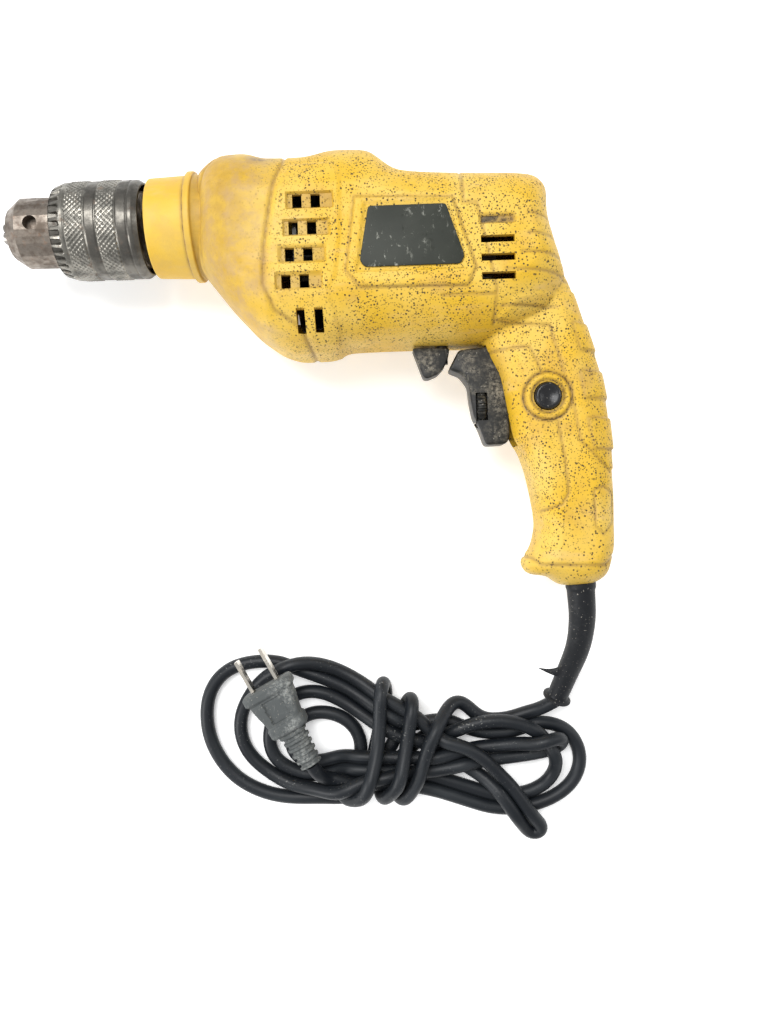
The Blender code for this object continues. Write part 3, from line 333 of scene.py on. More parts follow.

# %% [markdown]
# ## Finishes
# A drill like this is moulded in glass-filled nylon, dyed yellow and lightly pitted. Years of work
# leave brown stains, black specks in the pits and grime in every line. Each finish mixes those
# layers from noise at the real scale, and the same masks drive the roughness and the relief. The
# yellow also carries painted shade: browner towards the front of the rounded gear cover, and black
# in a blind slot.


# %% Worn yellow nylon
def yellow_nylon(name, clean=False):
    """Yellow nylon: sunned and stained in clouds, specked black in its pits, grimy in its lines,
    darkened where the mesh's mark carries painted shade, and browned on the front cover partly by stain
    and partly by painted shade.
    """
    p = Paint(name)
    base = (0.68, 0.42, 0.040) if clean else (0.65, 0.39, 0.018)
    sunned, brown, soot = (0.70, 0.47, 0.085), (0.40, 0.22, 0.07), (0.035, 0.03, 0.022)
    colour = p.mix(p.noise(0.030, 4.0, 0.55).step(0.35, 0.7), base, sunned)
    stain = p.noise(0.017, 5.0, 0.62, offset=3.1).step(0.50, 0.78)
    colour = p.mix(stain * (0.25 if clean else 0.45), colour, brown)
    smear = p.noise(0.010, 4.0, 0.6, (0.35, 1.4, 1.0), 7.7).step(0.54, 0.8)
    colour = p.mix(smear * 0.30, colour, (0.62, 0.44, 0.27))
    where = p.noise(0.040, 2.0, 0.5, offset=5.0).step(0.34, 0.60)
    rear = p.node("ShaderNodeSeparateXYZ", "X", None, Vector=p.place).step(-0.075, -0.045)
    pits = (1.0 - p.cells(0.00095, offset=1.3).step(0.20, 0.30)) * (where * 0.8 + 0.2)
    spots = (1.0 - p.cells(0.0016, offset=2.0).step(0.20, 0.30)) * p.noise(
        0.006, 2.0, 0.5, offset=9.0).step(0.38, 0.52)
    dirt = (pits * 0.85 + spots * 0.9).clamp() * (rear * 0.88 + 0.12) * (0.25 if clean else 1.0)
    colour = p.mix(dirt, colour, soot)
    # The mesh's mark carries grime in lines and also painted shade: the darker front of the gear cover
    # and the black floor of a blind slot.
    grime = p.mark("grime").clamp() * (p.noise(0.004, 3.0, 0.6, offset=4.0) * 1.1 + 0.15)
    colour = p.mix(grime.clamp(), colour, (0.19, 0.11, 0.042))
    black = p.mark("grime").step(0.72, 0.95) * p.noise(0.005, 4.0, 0.7, offset=11.0).step(0.42, 0.6)
    colour = p.mix(black * 0.85, colour, soot)
    # Brown patches on the front cover: partly stain, partly painted shade of the rounded cover.
    front_stain_and_shade = (1.0 - rear) * p.noise(0.010, 6.0, 0.7, offset=12.0).step(0.42, 0.66)
    colour = p.mix(front_stain_and_shade * (0.22 if clean else 0.62), colour, (0.40, 0.255, 0.12))
    rough = p.noise(0.008, 3.0, 0.6, offset=6.0) * 0.25 + 0.36 + dirt * 0.25
    grain = p.bump(p.noise(0.0007, 2.0, 0.6), 0.00006)
    relief_below = dirt * -1.0 + p.noise(0.006, 4.0, 0.6, offset=8.0) * 0.6
    return p.finish(colour, rough, p.bump(relief_below, 0.00018, grain))


YELLOW = yellow_nylon("worn_yellow_nylon")


# %% Black plastics and rubber
def dark_plastic(name, base, dust, roughness, dust_amount=0.35, scratch=True):
    """Dark moulded plastic: greyed by dust in cloudy patches, rubbed shinier on the rest."""
    p = Paint(name)
    cloud = p.noise(0.012, 5.0, 0.6)
    dusty = cloud.step(0.42, 0.75) * p.noise(0.0015, 3.0, 0.7, offset=2.0).step(0.35, 0.7)
    colour = p.mix(dusty * dust_amount, base, dust)
    if scratch:
        line = p.noise(0.0012, 2.0, 0.5, (1.0, 0.10, 1.0), 4.0).step(0.66, 0.74)
        colour = p.mix(line * 0.35, colour, dust)
    flecks = p.noise(0.0009, 1.0, 0.5, offset=6.0).step(0.70, 0.76)
    colour = p.mix(flecks * 0.5, colour, (0.45, 0.42, 0.36))
    rough = cloud * 0.22 + roughness
    return p.finish(colour, rough, p.bump(p.noise(0.0011, 3.0, 0.6, offset=3.0), 0.00005))


CONTROL = dark_plastic("worn_black_control", (0.010, 0.010, 0.009), (0.30, 0.27, 0.21), 0.34, 0.85)
MOULDING = dark_plastic("dusty_plug_rubber", (0.075, 0.082, 0.082), (0.36, 0.37, 0.35), 0.5, 0.9)
SLEEVE_RUBBER = dark_plastic("boot_rubber", (0.006, 0.007, 0.009), (0.08, 0.08, 0.08), 0.42, 0.35, False)


def jacket_rubber():
    """Lead jacket: matt and blue-black, with pale dust rubbed along it. The mesh's own numbers for
    the place round it and along it stretch the streaks."""
    p = Paint("lead_jacket")
    side, along = p.mark("round"), p.mark("along")
    place = p.node("ShaderNodeCombineXYZ", "Vector", None, X=side * 0.010, Y=along * 0.05)
    streak = p.node("ShaderNodeTexNoise", "Fac", None, Vector=place, Scale=260.0, Detail=4.0,
                    Roughness=0.65)
    worn = p.noise(0.020, 3.0, 0.6, offset=2.0).step(0.46, 0.72)
    specks = p.noise(0.0011, 2.0, 0.6, offset=5.0).step(0.62, 0.72)
    colour = p.mix(streak.step(0.42, 0.8) * 0.55, (0.007, 0.009, 0.012), (0.050, 0.056, 0.062))
    colour = p.mix(worn * specks * 0.6, colour, (0.30, 0.30, 0.28))
    rough = streak * 0.2 + 0.36
    rib = p.bump(streak, 0.00006)
    return p.finish(colour, rough, p.bump(p.noise(0.0016, 3.0, 0.6), 0.00005, rib))


JACKET = jacket_rubber()


# %% Worn steels
def steel(name, bright, dull, rough_low, rough_high, rust=0.25, size=0.006):
    """Steel with bright rubbed areas, dull oxide between them, and a little rust."""
    p = Paint(name)
    wear = p.noise(size, 5.0, 0.65).step(0.35, 0.68)
    colour = p.mix(wear, bright, dull)
    red = p.noise(0.0035, 4.0, 0.7, offset=3.0).step(0.56, 0.72)
    colour = p.mix(red * rust, colour, (0.20, 0.10, 0.05))
    colour = p.mix(p.mark("grime").clamp() * 0.8, colour, (0.05, 0.045, 0.04))
    scratch = p.noise(0.0016, 3.0, 0.6, (1.0, 0.12, 0.12), 8.0)
    rough = wear * (rough_high - rough_low) + rough_low + red * 0.2
    grain = p.bump(p.noise(0.0009, 3.0, 0.6), 0.00003)
    return p.finish(colour, rough, p.bump(scratch, 0.00004, grain), metallic=1.0 - red * rust)


NOSE_STEEL = steel("worn_nose_steel", (0.27, 0.235, 0.20), (0.13, 0.105, 0.085), 0.36, 0.6, 0.6)
SLEEVE_STEEL = steel("blued_sleeve_steel", (0.30, 0.285, 0.25), (0.14, 0.135, 0.12), 0.32, 0.52, 0.4)
JAW_STEEL = steel("jaw_steel", (0.30, 0.28, 0.26), (0.12, 0.11, 0.10), 0.35, 0.55, 0.2)
BLADE_STEEL = steel("plated_blade", (0.78, 0.74, 0.66), (0.55, 0.50, 0.43), 0.18, 0.38, 0.12)
COPPER = steel("wound_copper", (0.80, 0.38, 0.19), (0.50, 0.21, 0.10), 0.25, 0.45, 0.1, 0.003)
BRASS = steel("holder_brass", (0.78, 0.58, 0.27), (0.52, 0.38, 0.17), 0.25, 0.45, 0.1, 0.003)
CARBON = dark_plastic("brush_carbon", (0.03, 0.03, 0.03), (0.10, 0.10, 0.10), 0.5)
INSULATOR = dark_plastic("switch_plastic", (0.30, 0.23, 0.15), (0.45, 0.36, 0.25), 0.45)
COLLAR_YELLOW = yellow_nylon("collar_yellow_nylon", True)
BUTTON_BLACK = dark_plastic("button_black", (0.012, 0.012, 0.013), (0.10, 0.10, 0.09), 0.16, 0.2, False)


# %% Scratched label
def scratched_label():
    """A dark printed plate: glossy, scratched pale along short strokes, chipped at a few spots."""
    p = Paint("scratched_label")
    chip = p.noise(0.0060, 5.0, 0.8, offset=2.2).step(0.56, 0.64)
    stroke = p.noise(0.0024, 4.0, 0.7, (1.0, 0.35, 1.0), 6.1).step(0.58, 0.66)
    veil = p.noise(0.016, 3.0, 0.6, offset=9.3)
    colour = p.mix(veil, (0.016, 0.018, 0.014), (0.040, 0.044, 0.034))
    marks = (chip * 0.55 + stroke * 0.6).clamp()
    colour = p.mix(marks * veil.step(0.40, 0.62), colour, (0.50, 0.50, 0.44))
    scored = p.bump(marks * -1.0, 0.00005)
    return p.finish(colour, marks * 0.3 + 0.42, scored, Specular_IOR_Level=0.15)


LABEL_BLACK = scratched_label()
print("finishes:", len(bpy.data.materials))

# %% [markdown]
# ## The lead
# The lead is a 6.6 mm rubber-jacketed mains lead, about 1.9 m long. It is folded to and fro into a
# flat bundle and then wrapped round three times. The route is given as waypoints, strand by strand,
# with the height at which each strand was laid. A short relaxation then lets it settle like a rope:
# gravity pulls it down, stiffness smooths it, and strands that come nearer than one diameter push
# each other apart, so that it rests on the floor and on itself.

# %% The route
CORD_RADIUS = 0.0033
STRANDS = {
    "from_boot": [(57.6, -233, 6), (51, -238, 6), (42, -242, 6), (34, -243, 5), (27, -242, 5),
        (23, -238, 4)],
    "rise_to_wrap_3": [(21, -233, 5), (19, -225, 10)],
    "wrap_3": [(13, -219, 14), (10, -224, 14), (7, -230, 14), (3, -238, 14), (-1, -245, 14),
        (-5, -253, 14), (-8, -260, 14), (-11, -266, 14), (-15, -270, 14)],
    "under_3": [(-17, -273, 4), (-15, -264, 4), (-13, -252, 4), (-12, -240, 4), (-10, -228, 4)],
    "wrap_2": [(-10, -220, 14), (-9, -226, 14), (-9, -234, 14), (-11, -243, 14), (-13, -250, 14),
        (-15, -258, 14), (-20, -265, 14), (-25, -270, 14)],
    "under_2": [(-27, -273, 4), (-27, -262, 4), (-26, -248, 4), (-26, -232, 4), (-25, -219, 4)],
    "wrap_1": [(-25, -210, 14), (-23, -216, 14), (-23, -225, 14), (-23, -234, 14), (-24, -243, 14),
        (-25, -251, 14), (-28, -259, 14), (-32, -266, 14), (-38, -270, 14)],
    "under_1": [(-44, -276, 4), (-48, -274, 4), (-47, -270, 4), (-41, -263, 4), (-34, -256, 4),
        (-31, -249, 4), (-30, -241, 4), (-33, -235, 4)],
    "inner_turn_left": [(-37, -231, 4), (-44, -228, 4), (-52, -226, 4), (-60, -226, 4),
        (-65, -228, 4), (-69, -232, 4), (-71, -238, 4), (-72, -244, 4), (-71, -251, 4),
        (-67, -257, 4), (-60, -260, 4)],
    "inner_run": [(-51, -257, 8), (-42, -256, 8), (-33, -254, 8), (-26, -253, 8)],
    "waist_1": [(-15, -252, 12), (-5, -252, 12)],
    "flat_fold_out": [(3, -252, 12), (9, -251, 13), (21, -249, 13), (30, -248, 14), (40, -246, 14),
        (50, -244, 15), (60, -243, 16), (68, -243, 16), (71, -244, 17)],
    "flat_fold_back": [(70, -250, 10), (61, -252, 10), (50, -254, 10), (41, -255, 10),
        (30, -256, 10), (21, -256, 10), (9, -256, 10), (0, -257, 10)],
    "waist_2": [(-10, -258, 10), (-21, -259, 10)],
    "middle_turn_left": [(-29, -259, 10), (-35, -261, 10), (-45, -264, 10), (-56, -265, 10),
        (-66, -264, 10), (-75, -261, 10), (-85, -256, 10), (-93, -248, 10), (-96, -238, 10),
        (-95, -228, 10), (-90, -220, 10), (-83, -211, 10), (-75, -204, 10), (-67, -202, 10)],
    "middle_run": [(-59, -203, 10), (-48, -205, 10), (-38, -211, 10), (-30, -217, 10),
        (-24, -221, 10)],
    "waist_3": [(-18, -226, 12), (-9, -232, 12), (-2, -237, 12), (5, -241, 12)],
    "slanting_fold_out": [(11, -242, 16), (19, -246, 16), (26, -252, 15), (32, -261, 15),
        (39, -269, 15), (47, -278, 15), (54, -292, 14), (58, -297, 14)],
    "slanting_fold_back": [(54, -297, 8), (46, -289, 8), (36, -273, 9), (30, -265, 9),
        (24, -258, 9), (16, -252, 9), (9, -248, 10), (3, -244, 10)],
    "waist_4": [(-4, -240, 10), (-14, -235, 10), (-24, -231, 10)],
    "small_turn_left": [(-28, -229, 6), (-34, -226, 6), (-46, -219, 6), (-56, -215, 6),
        (-64, -216, 6), (-72, -220, 6), (-78, -229, 6), (-82, -239, 6), (-82, -245, 6),
        (-81, -252, 6), (-76, -258, 6), (-68, -262, 6)],
    "small_run": [(-56, -261, 6), (-45, -260, 6), (-35, -259, 6)],
    "waist_5": [(-28, -258, 8), (-15, -259, 8), (-7, -261, 8)],
    "front_turn_right": [(-1, -264, 5), (7, -267, 6), (19, -272, 6), (29, -275, 7), (38, -277, 8),
        (48, -276, 8), (58, -272, 9), (64, -266, 9), (66, -258, 10), (65, -251, 11),
        (60, -244, 11), (53, -238, 12), (45, -234, 12), (35, -233, 13), (24, -234, 14),
        (13, -236, 14), (7, -238, 15)],
    "waist_6": [(0, -244, 8), (-10, -248, 8), (-21, -255, 8), (-30, -261, 8)],
    "outer_turn_left": [(-37, -267, 4), (-46, -270, 4), (-57, -271, 4), (-68, -272, 4),
        (-78, -271, 4), (-88, -267, 4), (-98, -261, 4), (-105, -251, 4), (-110, -241, 4),
        (-111, -231, 4), (-111, -221, 4), (-109, -214, 4), (-103, -206, 4), (-95, -202, 4),
        (-86, -202, 4), (-77, -201, 4)],
    "outer_run": [(-68, -204, 4), (-59, -208, 4), (-48, -213, 4), (-38, -218, 4), (-29, -224, 4)],
    "waist_7": [(-23, -229, 6), (-12, -236, 6), (-2, -241, 6)],
    "rear_run_right": [(7, -244, 9), (17, -243, 9), (28, -242, 10), (37, -240, 10), (45, -239, 11),
        (53, -237, 11), (60, -236, 12), (67, -238, 12)],
    "rear_turn_right": [(75, -247, 4), (78, -254, 4), (77, -263, 4), (72, -271, 4), (62, -277, 4),
        (52, -280, 4), (43, -281, 4), (33, -279, 4), (21, -274, 4), (9, -269, 4), (0, -266, 4)],
    "waist_8": [(-10, -264, 6), (-21, -264, 6), (-30, -263, 6)],
    "to_plug": [(-36, -262, 9), (-46, -261, 9), (-54, -260, 9)],
}
LEAD_START = (61.8, -226.6, 9.2)
PLUG_ENTRY = [(-50.0, -261.5, 14.0), (-54.0, -254.8, 18.6), (-56.6, -249.8, 20.6)]
waypoints = [LEAD_START, *(point for strand in STRANDS.values() for point in strand), *PLUG_ENTRY]
print("waypoints:", len(waypoints))


# %% Let it settle
def settle(path, diameter, steps):
    """Relax a chain of points in mm. Each step: points sink; a spring pulls each one back over the
    place that it was laid at; pairs nearer than a diameter move apart by half the lack each; and
    each point moves towards the middle of its neighbours. The ends stay fixed."""
    path, laid, count = path.copy(), path[:, :2].copy(), len(path)
    first, last = path[0].copy(), path[-3:].copy()
    one, two = np.triu_indices(count, 5)
    for step in range(steps):
        late = step > 0.7 * steps
        path[1:-1, 2] -= 0.02 if late else 0.12
        path[1:-1, :2] += (0.01 if late else 0.03) * (laid - path[:, :2])[1:-1]
        if step % 5 == 0:
            apart = path[one] - path[two]
            close = (apart ** 2).sum(axis=1) < (diameter + 4.0) ** 2
            near_one, near_two = one[close], two[close]
        for _ in range(2):
            apart = path[near_one] - path[near_two]
            length = np.linalg.norm(apart, axis=1) + 1e-9
            hit = length < diameter
            i, j = near_one[hit], near_two[hit]
            push = apart[hit] * ((diameter - length[hit]) / length[hit] * 0.5)[:, None]
            shift, share = np.zeros_like(path), np.zeros(count)
            np.add.at(shift, i, push)
            np.add.at(shift, j, -push)
            np.add.at(share, i, 1.0)
            np.add.at(share, j, 1.0)
            path[1:-1] += (shift / np.maximum(share, 1.0)[:, None])[1:-1]
            bend = (path[:-2] + path[2:]) / 2 - path[1:-1]
            path[1:-1] += bend * (0.12 if late else 0.25)
            path[2:-2] -= ((bend[:-2] + bend[2:]) / 2 - bend[1:-1]) * (0.1 if late else 0.3)
            path[:, 2] = np.maximum(path[:, 2], diameter / 2)
        path[0], path[-3:] = first, last
    return path


settled = settle(spline(waypoints, 3.0), CORD_RADIUS * 2000, 1400)
centreline = spline(settled, 1.0) * MM
for _ in range(6):
    centreline[1:-1] += 0.5 * ((centreline[:-2] + centreline[2:]) / 2 - centreline[1:-1])
ahead = np.diff(centreline, axis=0)
ahead /= np.linalg.norm(ahead, axis=1)[:, None]
turns = np.degrees(np.arccos(np.clip((ahead[:-1] * ahead[1:]).sum(axis=1), -1.0, 1.0)))
print("sharpest turn per mm, degrees:", round(float(turns.max()), 1), "at mm", int(turns.argmax()))
CORD_LENGTH = float(np.linalg.norm(np.diff(centreline, axis=0), axis=1).sum())
print("lead length, m:", round(CORD_LENGTH, 3), "highest point, mm:", round(settled[:, 2].max(), 1))

# %% The lead's skin
CORD_SIDES = 20
lead_marks = {
    "round": np.tile(np.linspace(0.0, 1.0, CORD_SIDES, endpoint=False), len(centreline)),
    "along": np.repeat(np.linspace(0.0, CORD_LENGTH, len(centreline)), CORD_SIDES)}
lead_grid = tube_grid(centreline, np.full(len(centreline), CORD_RADIUS), CORD_SIDES)
lead = skin("lead_cord", lead_grid, JACKET, "housing", marks=lead_marks)
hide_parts("cord_hank", "cord_lead", "cord_tail")

# %% [markdown]
# ## Boot and plug
# The boot is a tapered rubber sleeve that leaves the handle and bends down to the table. It has a
# thin disc at its end, a second one above it, and a small hook where the chuck key's strap goes. The
# plug is a moulded body: a wide front flange, a waist with a recessed panel on its face, a step,
# and then five ribs that let the lead bend.

# %% Boot
boot_route = np.array([(70.0, -152.0, 35.0), (70.2, -170.0, 34.6), (71.0, -184.0, 31.6),
                       (70.2, -198.0, 24.6), (66.3, -212.8, 15.8), LEAD_START])
boot_path = spline(boot_route, 0.5)
boot_run = np.linspace(0.0, 1.0, len(boot_path))
boot_radius = np.interp(boot_run, (0.0, 0.24, 0.42, 0.60, 0.80, 1.0), (6.4, 6.3, 6.0, 5.6, 5.2, 4.9))


def collar_at(at, height, width):
    """A raised disc on the boot: a steep-sided bump of the radius about one place along it."""
    return height / (1.0 + (np.abs(boot_run - at) / width) ** 6)


boot_radius = boot_radius + collar_at(0.972, 1.9, 0.010) + collar_at(0.20, 0.5, 0.02)
boot_radius[-3:] -= (0.3, 0.8, 1.4)
boot = skin("lead_boot", tube_grid(boot_path * MM, boot_radius * MM, 48), SLEEVE_RUBBER, "housing")
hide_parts("cord_boot")


def hook(root, tip, width, thick):
    """A flat pointed fin: its section shrinks from the root to the tip, and it curls upwards."""
    rows, sides = 24, 20
    t = np.linspace(0.0, 1.0, rows)[:, None]
    line = root + (tip - root) * t + np.array([0.0, -1.6, 0.0]) * np.sin(np.pi * t)
    angle = np.linspace(0.0, 2 * np.pi, sides, endpoint=False)
    share = (1.0 - t) ** 0.75 + 0.05
    grid = np.empty((rows, sides, 3))
    grid[..., 0] = line[:, :1]
    grid[..., 1] = line[:, 1:2] + np.cos(angle) * width * share * (0.35 + 0.65 * (1 - t))
    grid[..., 2] = line[:, 2:] + np.sin(angle) * thick * share
    return grid


hook_grid = hook(np.array([68.0, -210.0, 18.0]), np.array([52.5, -208.8, 17.0]), 4.2, 1.1)
boot_hook = skin("boot_hook", hook_grid * MM, SLEEVE_RUBBER, "housing")
print("boot, mm long:", round(float(np.linalg.norm(np.diff(boot_path, axis=0), axis=1).sum())))

# %% Plug
PLUG_FACE = np.array([-76.6, -211.4, 21.9])
PLUG_HEADING = math.radians(-62.0)


def plug_place(grid):
    """From the plug's own axes, x from its face to the lead, to the model's frame, in metres."""
    c, s = math.cos(PLUG_HEADING), math.sin(PLUG_HEADING)
    x, y = grid[..., 0], grid[..., 1]
    return np.stack([PLUG_FACE[0] + c * x - s * y, PLUG_FACE[1] + s * x + c * y,
                     PLUG_FACE[2] + grid[..., 2]], axis=-1) * MM


def rounded_section(width, thick, power, angle):
    """The closed curve |y/width|^p + |z/thick|^p = 1, which goes from an oval to a rounded box."""
    c, s = np.cos(angle), np.sin(angle)
    scale = (np.abs(c) ** power + np.abs(s) ** power) ** (-1.0 / power)
    return width * c * scale, thick * s * scale


plug_x = np.array([0, 0.6, 1.4, 4.2, 5.0, 5.4, 9, 14, 18.4, 18.9, 19.4, 23.2, 24.0, 24.4])
plug_w = np.array([11.6, 12.4, 12.6, 12.6, 11.8, 11.2, 10.6, 9.4, 8.6, 9.2, 9.5, 9.2, 8.6, 6.6])
plug_t = np.array([6.9, 7.7, 7.9, 7.9, 7.2, 6.8, 6.8, 6.6, 6.2, 6.9, 7.1, 6.9, 6.3, 5.4])
PLUG_SIDES, RIB_PITCH = 120, 3.4
BODY_END, RIBS_START, RIBS_END = 24.6, 24.8, 43.0
ribs = np.arange(RIBS_START, RIBS_END, 0.2)
rib_wave = 0.55 * np.clip(np.sin((ribs - RIBS_START) / RIB_PITCH * 2 * np.pi) * 2.2, -1.0, 1.0)
x_along = np.r_[np.arange(0.0, BODY_END, 0.25), ribs]
taper = np.interp(ribs, (BODY_END, 42.8), (1.0, 0.76))
width_along = np.interp(x_along, plug_x, plug_w)
thick_along = np.interp(x_along, plug_x, plug_t)
width_along[-len(ribs):] = 6.3 * taper + rib_wave
thick_along[-len(ribs):] = 5.6 * taper + rib_wave
around = np.linspace(0.0, 2 * np.pi, PLUG_SIDES, endpoint=False)
power_along = np.interp(x_along, (0.0, 24.0, 26.0, RIBS_END), (5.0, 5.0, 2.4, 2.1))
y_ring, z_ring = rounded_section(width_along[:, None], thick_along[:, None],
                                 power_along[:, None], around[None])
panel = (np.abs(x_along[:, None] - 11.6) < 5.6) & (np.abs(y_ring) < 4.6) & (np.abs(z_ring) > 4.0)
z_ring = z_ring - np.sign(z_ring) * panel * 0.9
x_ring = np.repeat(x_along[:, None], PLUG_SIDES, axis=1)
plug_grid = np.stack([x_ring, y_ring, z_ring], axis=-1)
plug = skin("plug_moulding", plug_place(plug_grid), MOULDING, "housing", smooth_angle=35)
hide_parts("plug_body")
print("plug length, mm:", x_along[-1])

# %% [markdown]
# ## Housing
# The housing is one outer skin over two swollen outlines, the motor body and the handle. A point of
# an outline moves towards its shape's spine as the level rises from the middle plane, and keeps the
# share (1 - level^2.7)^(1/2.7) of its distance. That gives flat faces with a soft rounded edge, and
# the outline's corners soften on the way up. The two swollen shapes are fused into one even skin,
# whose points then move along their normals to form seams, raised frames, vent pockets and grip
# pads. The shell is hollowed, pierced, and cut into two halves.

# %% Outlines and features of the mouldings, mm
BODY_LOOP = [(-96, -21), (-96, 20), (-86.4, 27.6), (-72, 28), (-65, 24.7), (-46, 24.5),
             (-36.5, 28), (-19, 28), (-8.2, 16.8), (24, 14.8), (54, 14), (59.4, 8.4), (57.6, -5),
             (61.8, -20), (66.8, -34), (55, -50), (30, -58.4), (-5, -57.8), (-32, -57.8), (-36.8, -61.6),
             (-53.5, -62), (-61, -59), (-71.4, -51.4), (-83, -38.4), (-91.5, -27)]
BODY_SPINE = ((-62, -16), (38, -18))
HANDLE_LOOP = [(26, -40), (61, -18), (68.4, -33.5), (72.8, -47.5), (77.2, -61.5), (80.6, -73.5),
               (82.6, -86.2), (84.2, -104), (84.9, -128), (84, -153), (81.4, -164), (75.6, -167.6),
               (60, -168.2), (54.4, -163.4), (45.4, -162.6), (42.4, -156.8), (48.6, -150), (51.2, -141),
               (49.2, -127), (47.2, -116.5), (44.2, -107), (40.3, -102), (37.9, -86), (35.9, -73),
               (30, -62)]
HANDLE_SPINE = ((52, -46), (68, -150))
COVER_SEAM = [(-54.8, 26), (-55.5, 15.8), (-58.3, 7.5), (-60.8, -4.2), (-63.6, -20.9), (-64.6, -36.1),
              (-60.3, -46.3), (-50.4, -52.6), (-46, -62)]
VENT_BLOCK = [(-52, 14.0), (-56.2, 7.0), (-58.8, -4.2), (-61.4, -20.9), (-62, -36), (-57.5, -45),
              (-50.4, -49.5), (-45, -59), (-34.4, -59), (-34.1, -54), (-38.1, -38.7), (-34.6, -33.8),
              (-32.3, -17), (-31.4, 8.2), (-35, 14.5)]
FRONT_SEAM = [(-84.7, 24.1), (-89.4, 17.3), (-92.4, 6.9), (-92.8, -28)]
LABEL_FRAME = [(-25.7, -1.5), (14.9, -3), (23.8, -32.4), (20.2, -39.7), (-24.5, -38.9),
               (-30.1, -32.1)]
LABEL_SEAT = [(-21.6, -4.4), (13.2, -4.4), (20.4, -32.6), (-25.8, -32.6)]
REAR_SEAM = [(19.3, 18), (19.3, -5.4), (25.1, -5.6), (32.2, -41), (31.7, -53.5)]
BLOCK_SEAM = [(9.7, -43), (32.4, -43)]
STRAP = [(32.6, -52.1), (56.4, -53.9), (59.6, -66), (65.3, -87.4), (68.1, -104.5), (81.3, -117.8),
         (96, -110), (90, -60), (78, -36), (66, -39), (40, -44)]
TRIGGER_SEAM = [(16.9, -63.5), (47.5, -62.9), (50.7, -69.8), (52.2, -74.1)]
GRIP_SEAM = [(58.1, -93.1), (60.9, -110.6), (62.1, -126.3), (59.3, -131.4), (47.9, -135.3)]
TAIL_BADGE = [(73, -125.7), (77.5, -124.1), (82.3, -127.8), (81.8, -140.1), (76.7, -145.1),
              (73.3, -141.5)]
TAIL_STEP = [(40, -153.0), (46.7, -154.7), (50.1, -157.5), (77.5, -158.5), (83, -154.3), (90, -153)]
GRIP_PADS = [[(66.5, -53), (92, -53), (92, -65), (69.5, -65)],
             [(68.6, -74), (92, -74), (92, -86), (70.6, -86)],
             [(71.4, -94.5), (92, -94.5), (92, -108), (73.6, -108)]]
SIDE_LINES = [[(43, -26.5), (64, -27.5)], [(46, -18.8), (64, -19.6)], [(46, -10.5), (62, -11.4)],
              [(36, -33.5), (66, -34.4)], [(34.6, -47.3), (60, -46.3)]]
BUTTON_CENTRE = (54.5, -84.5)
VENT_ROWS = [(-45.5 - 1.9 * row, -2.5 - 11.0 * row) for row in range(4)]
VENTS = [(x + 7.6 * side, y) for x, y in VENT_ROWS for side in (-0.5, 0.5)]
BODY_HALF, HANDLE_HALF, WALL = 35.0, 19.0, 2.8
BELOW_ALL, ABOVE_ALL = -5, 80


def rounded_loop(points, reach, step):
    """The closed outline with each corner cut by a curve that starts reach mm before it."""
    points = np.asarray(points, float)
    found = []
    for before, corner, after in zip(np.roll(points, 1, 0), points, np.roll(points, -1, 0)):
        back, on = before - corner, after - corner
        back_length, on_length = np.linalg.norm(back), np.linalg.norm(on)
        start = corner + back / back_length * min(reach, 0.45 * back_length)
        end = corner + on / on_length * min(reach, 0.45 * on_length)
        found += [start * (1 - t) ** 2 + corner * 2 * t * (1 - t) + end * t ** 2
                  for t in (0, 0.25, 0.5, 0.75, 1)]
    closed = np.vstack([found, found[:1]])
    run = np.r_[0.0, np.cumsum(np.linalg.norm(np.diff(closed, axis=0), axis=1))]
    at = np.linspace(0.0, run[-1], int(run[-1] / step))[:-1]
    return np.stack([np.interp(at, run, closed[:, k]) for k in range(2)], axis=1)


def swollen(loop, spine, half, inset=0.0):
    """The pillow over an outline: rows from the bottom face to the top face, in metres. half is its
    half thickness and inset its wall, both in mm."""
    a, b = (np.array(end, float) for end in spine)
    t = np.clip(((loop - a) @ (b - a)) / ((b - a) @ (b - a)), 0.0, 1.0)
    foot = a + t[:, None] * (b - a)
    arm = loop - foot
    length = np.linalg.norm(arm, axis=1)[:, None]
    arm = arm * (1.0 - inset / length)
    level = np.sin(np.linspace(-np.pi / 2, np.pi / 2, 45))
    share = (1.0 - (np.abs(level) * 0.945) ** 2.7) ** (1 / 2.7)
    level = np.r_[-1.0, -1.0, level, 1.0, 1.0]
    share = np.r_[0.03, 0.3, share, 0.3, 0.03]
    wave = np.fft.rfftfreq(len(loop), 1.0 / len(loop))
    fade = np.exp(-(wave / 11.0) ** 2)[:, None]
    soft = np.fft.irfft(np.fft.rfft(arm, axis=0) * fade, len(loop), axis=0)
    blend = (np.abs(level) ** 1.5)[:, None, None]
    grid = np.empty((len(level), len(loop), 3))
    grid[..., :2] = foot + (arm * (1 - blend) + soft * blend) * share[:, None, None]
    grid[..., 2] = (MIDDLE / MM + (half - inset) * level)[:, None]
    return grid * MM


def line_distance(x, y, line):
    """How far each place is from a line of straight pieces, mm."""
    best = np.full(len(x), 1e9)
    for (ax, ay), (bx, by) in zip(line, line[1:]):
        dx, dy = bx - ax, by - ay
        t = np.clip(((x - ax) * dx + (y - ay) * dy) / (dx * dx + dy * dy + 1e-9), 0.0, 1.0)
        best = np.minimum(best, np.hypot(x - ax - t * dx, y - ay - t * dy))
    return best


def inside_depth(x, y, loop):
    """Distance to a closed outline: above zero inside it, below zero outside."""
    inside = np.zeros(len(x), bool)
    for (ax, ay), (bx, by) in zip(loop, loop[1:] + loop[:1]):
        crosses = (ay > y) != (by > y)
        inside ^= crosses & (x < (bx - ax) * (y - ay) / (by - ay + 1e-12) + ax)
    return np.where(inside, 1.0, -1.0) * line_distance(x, y, loop + loop[:1])


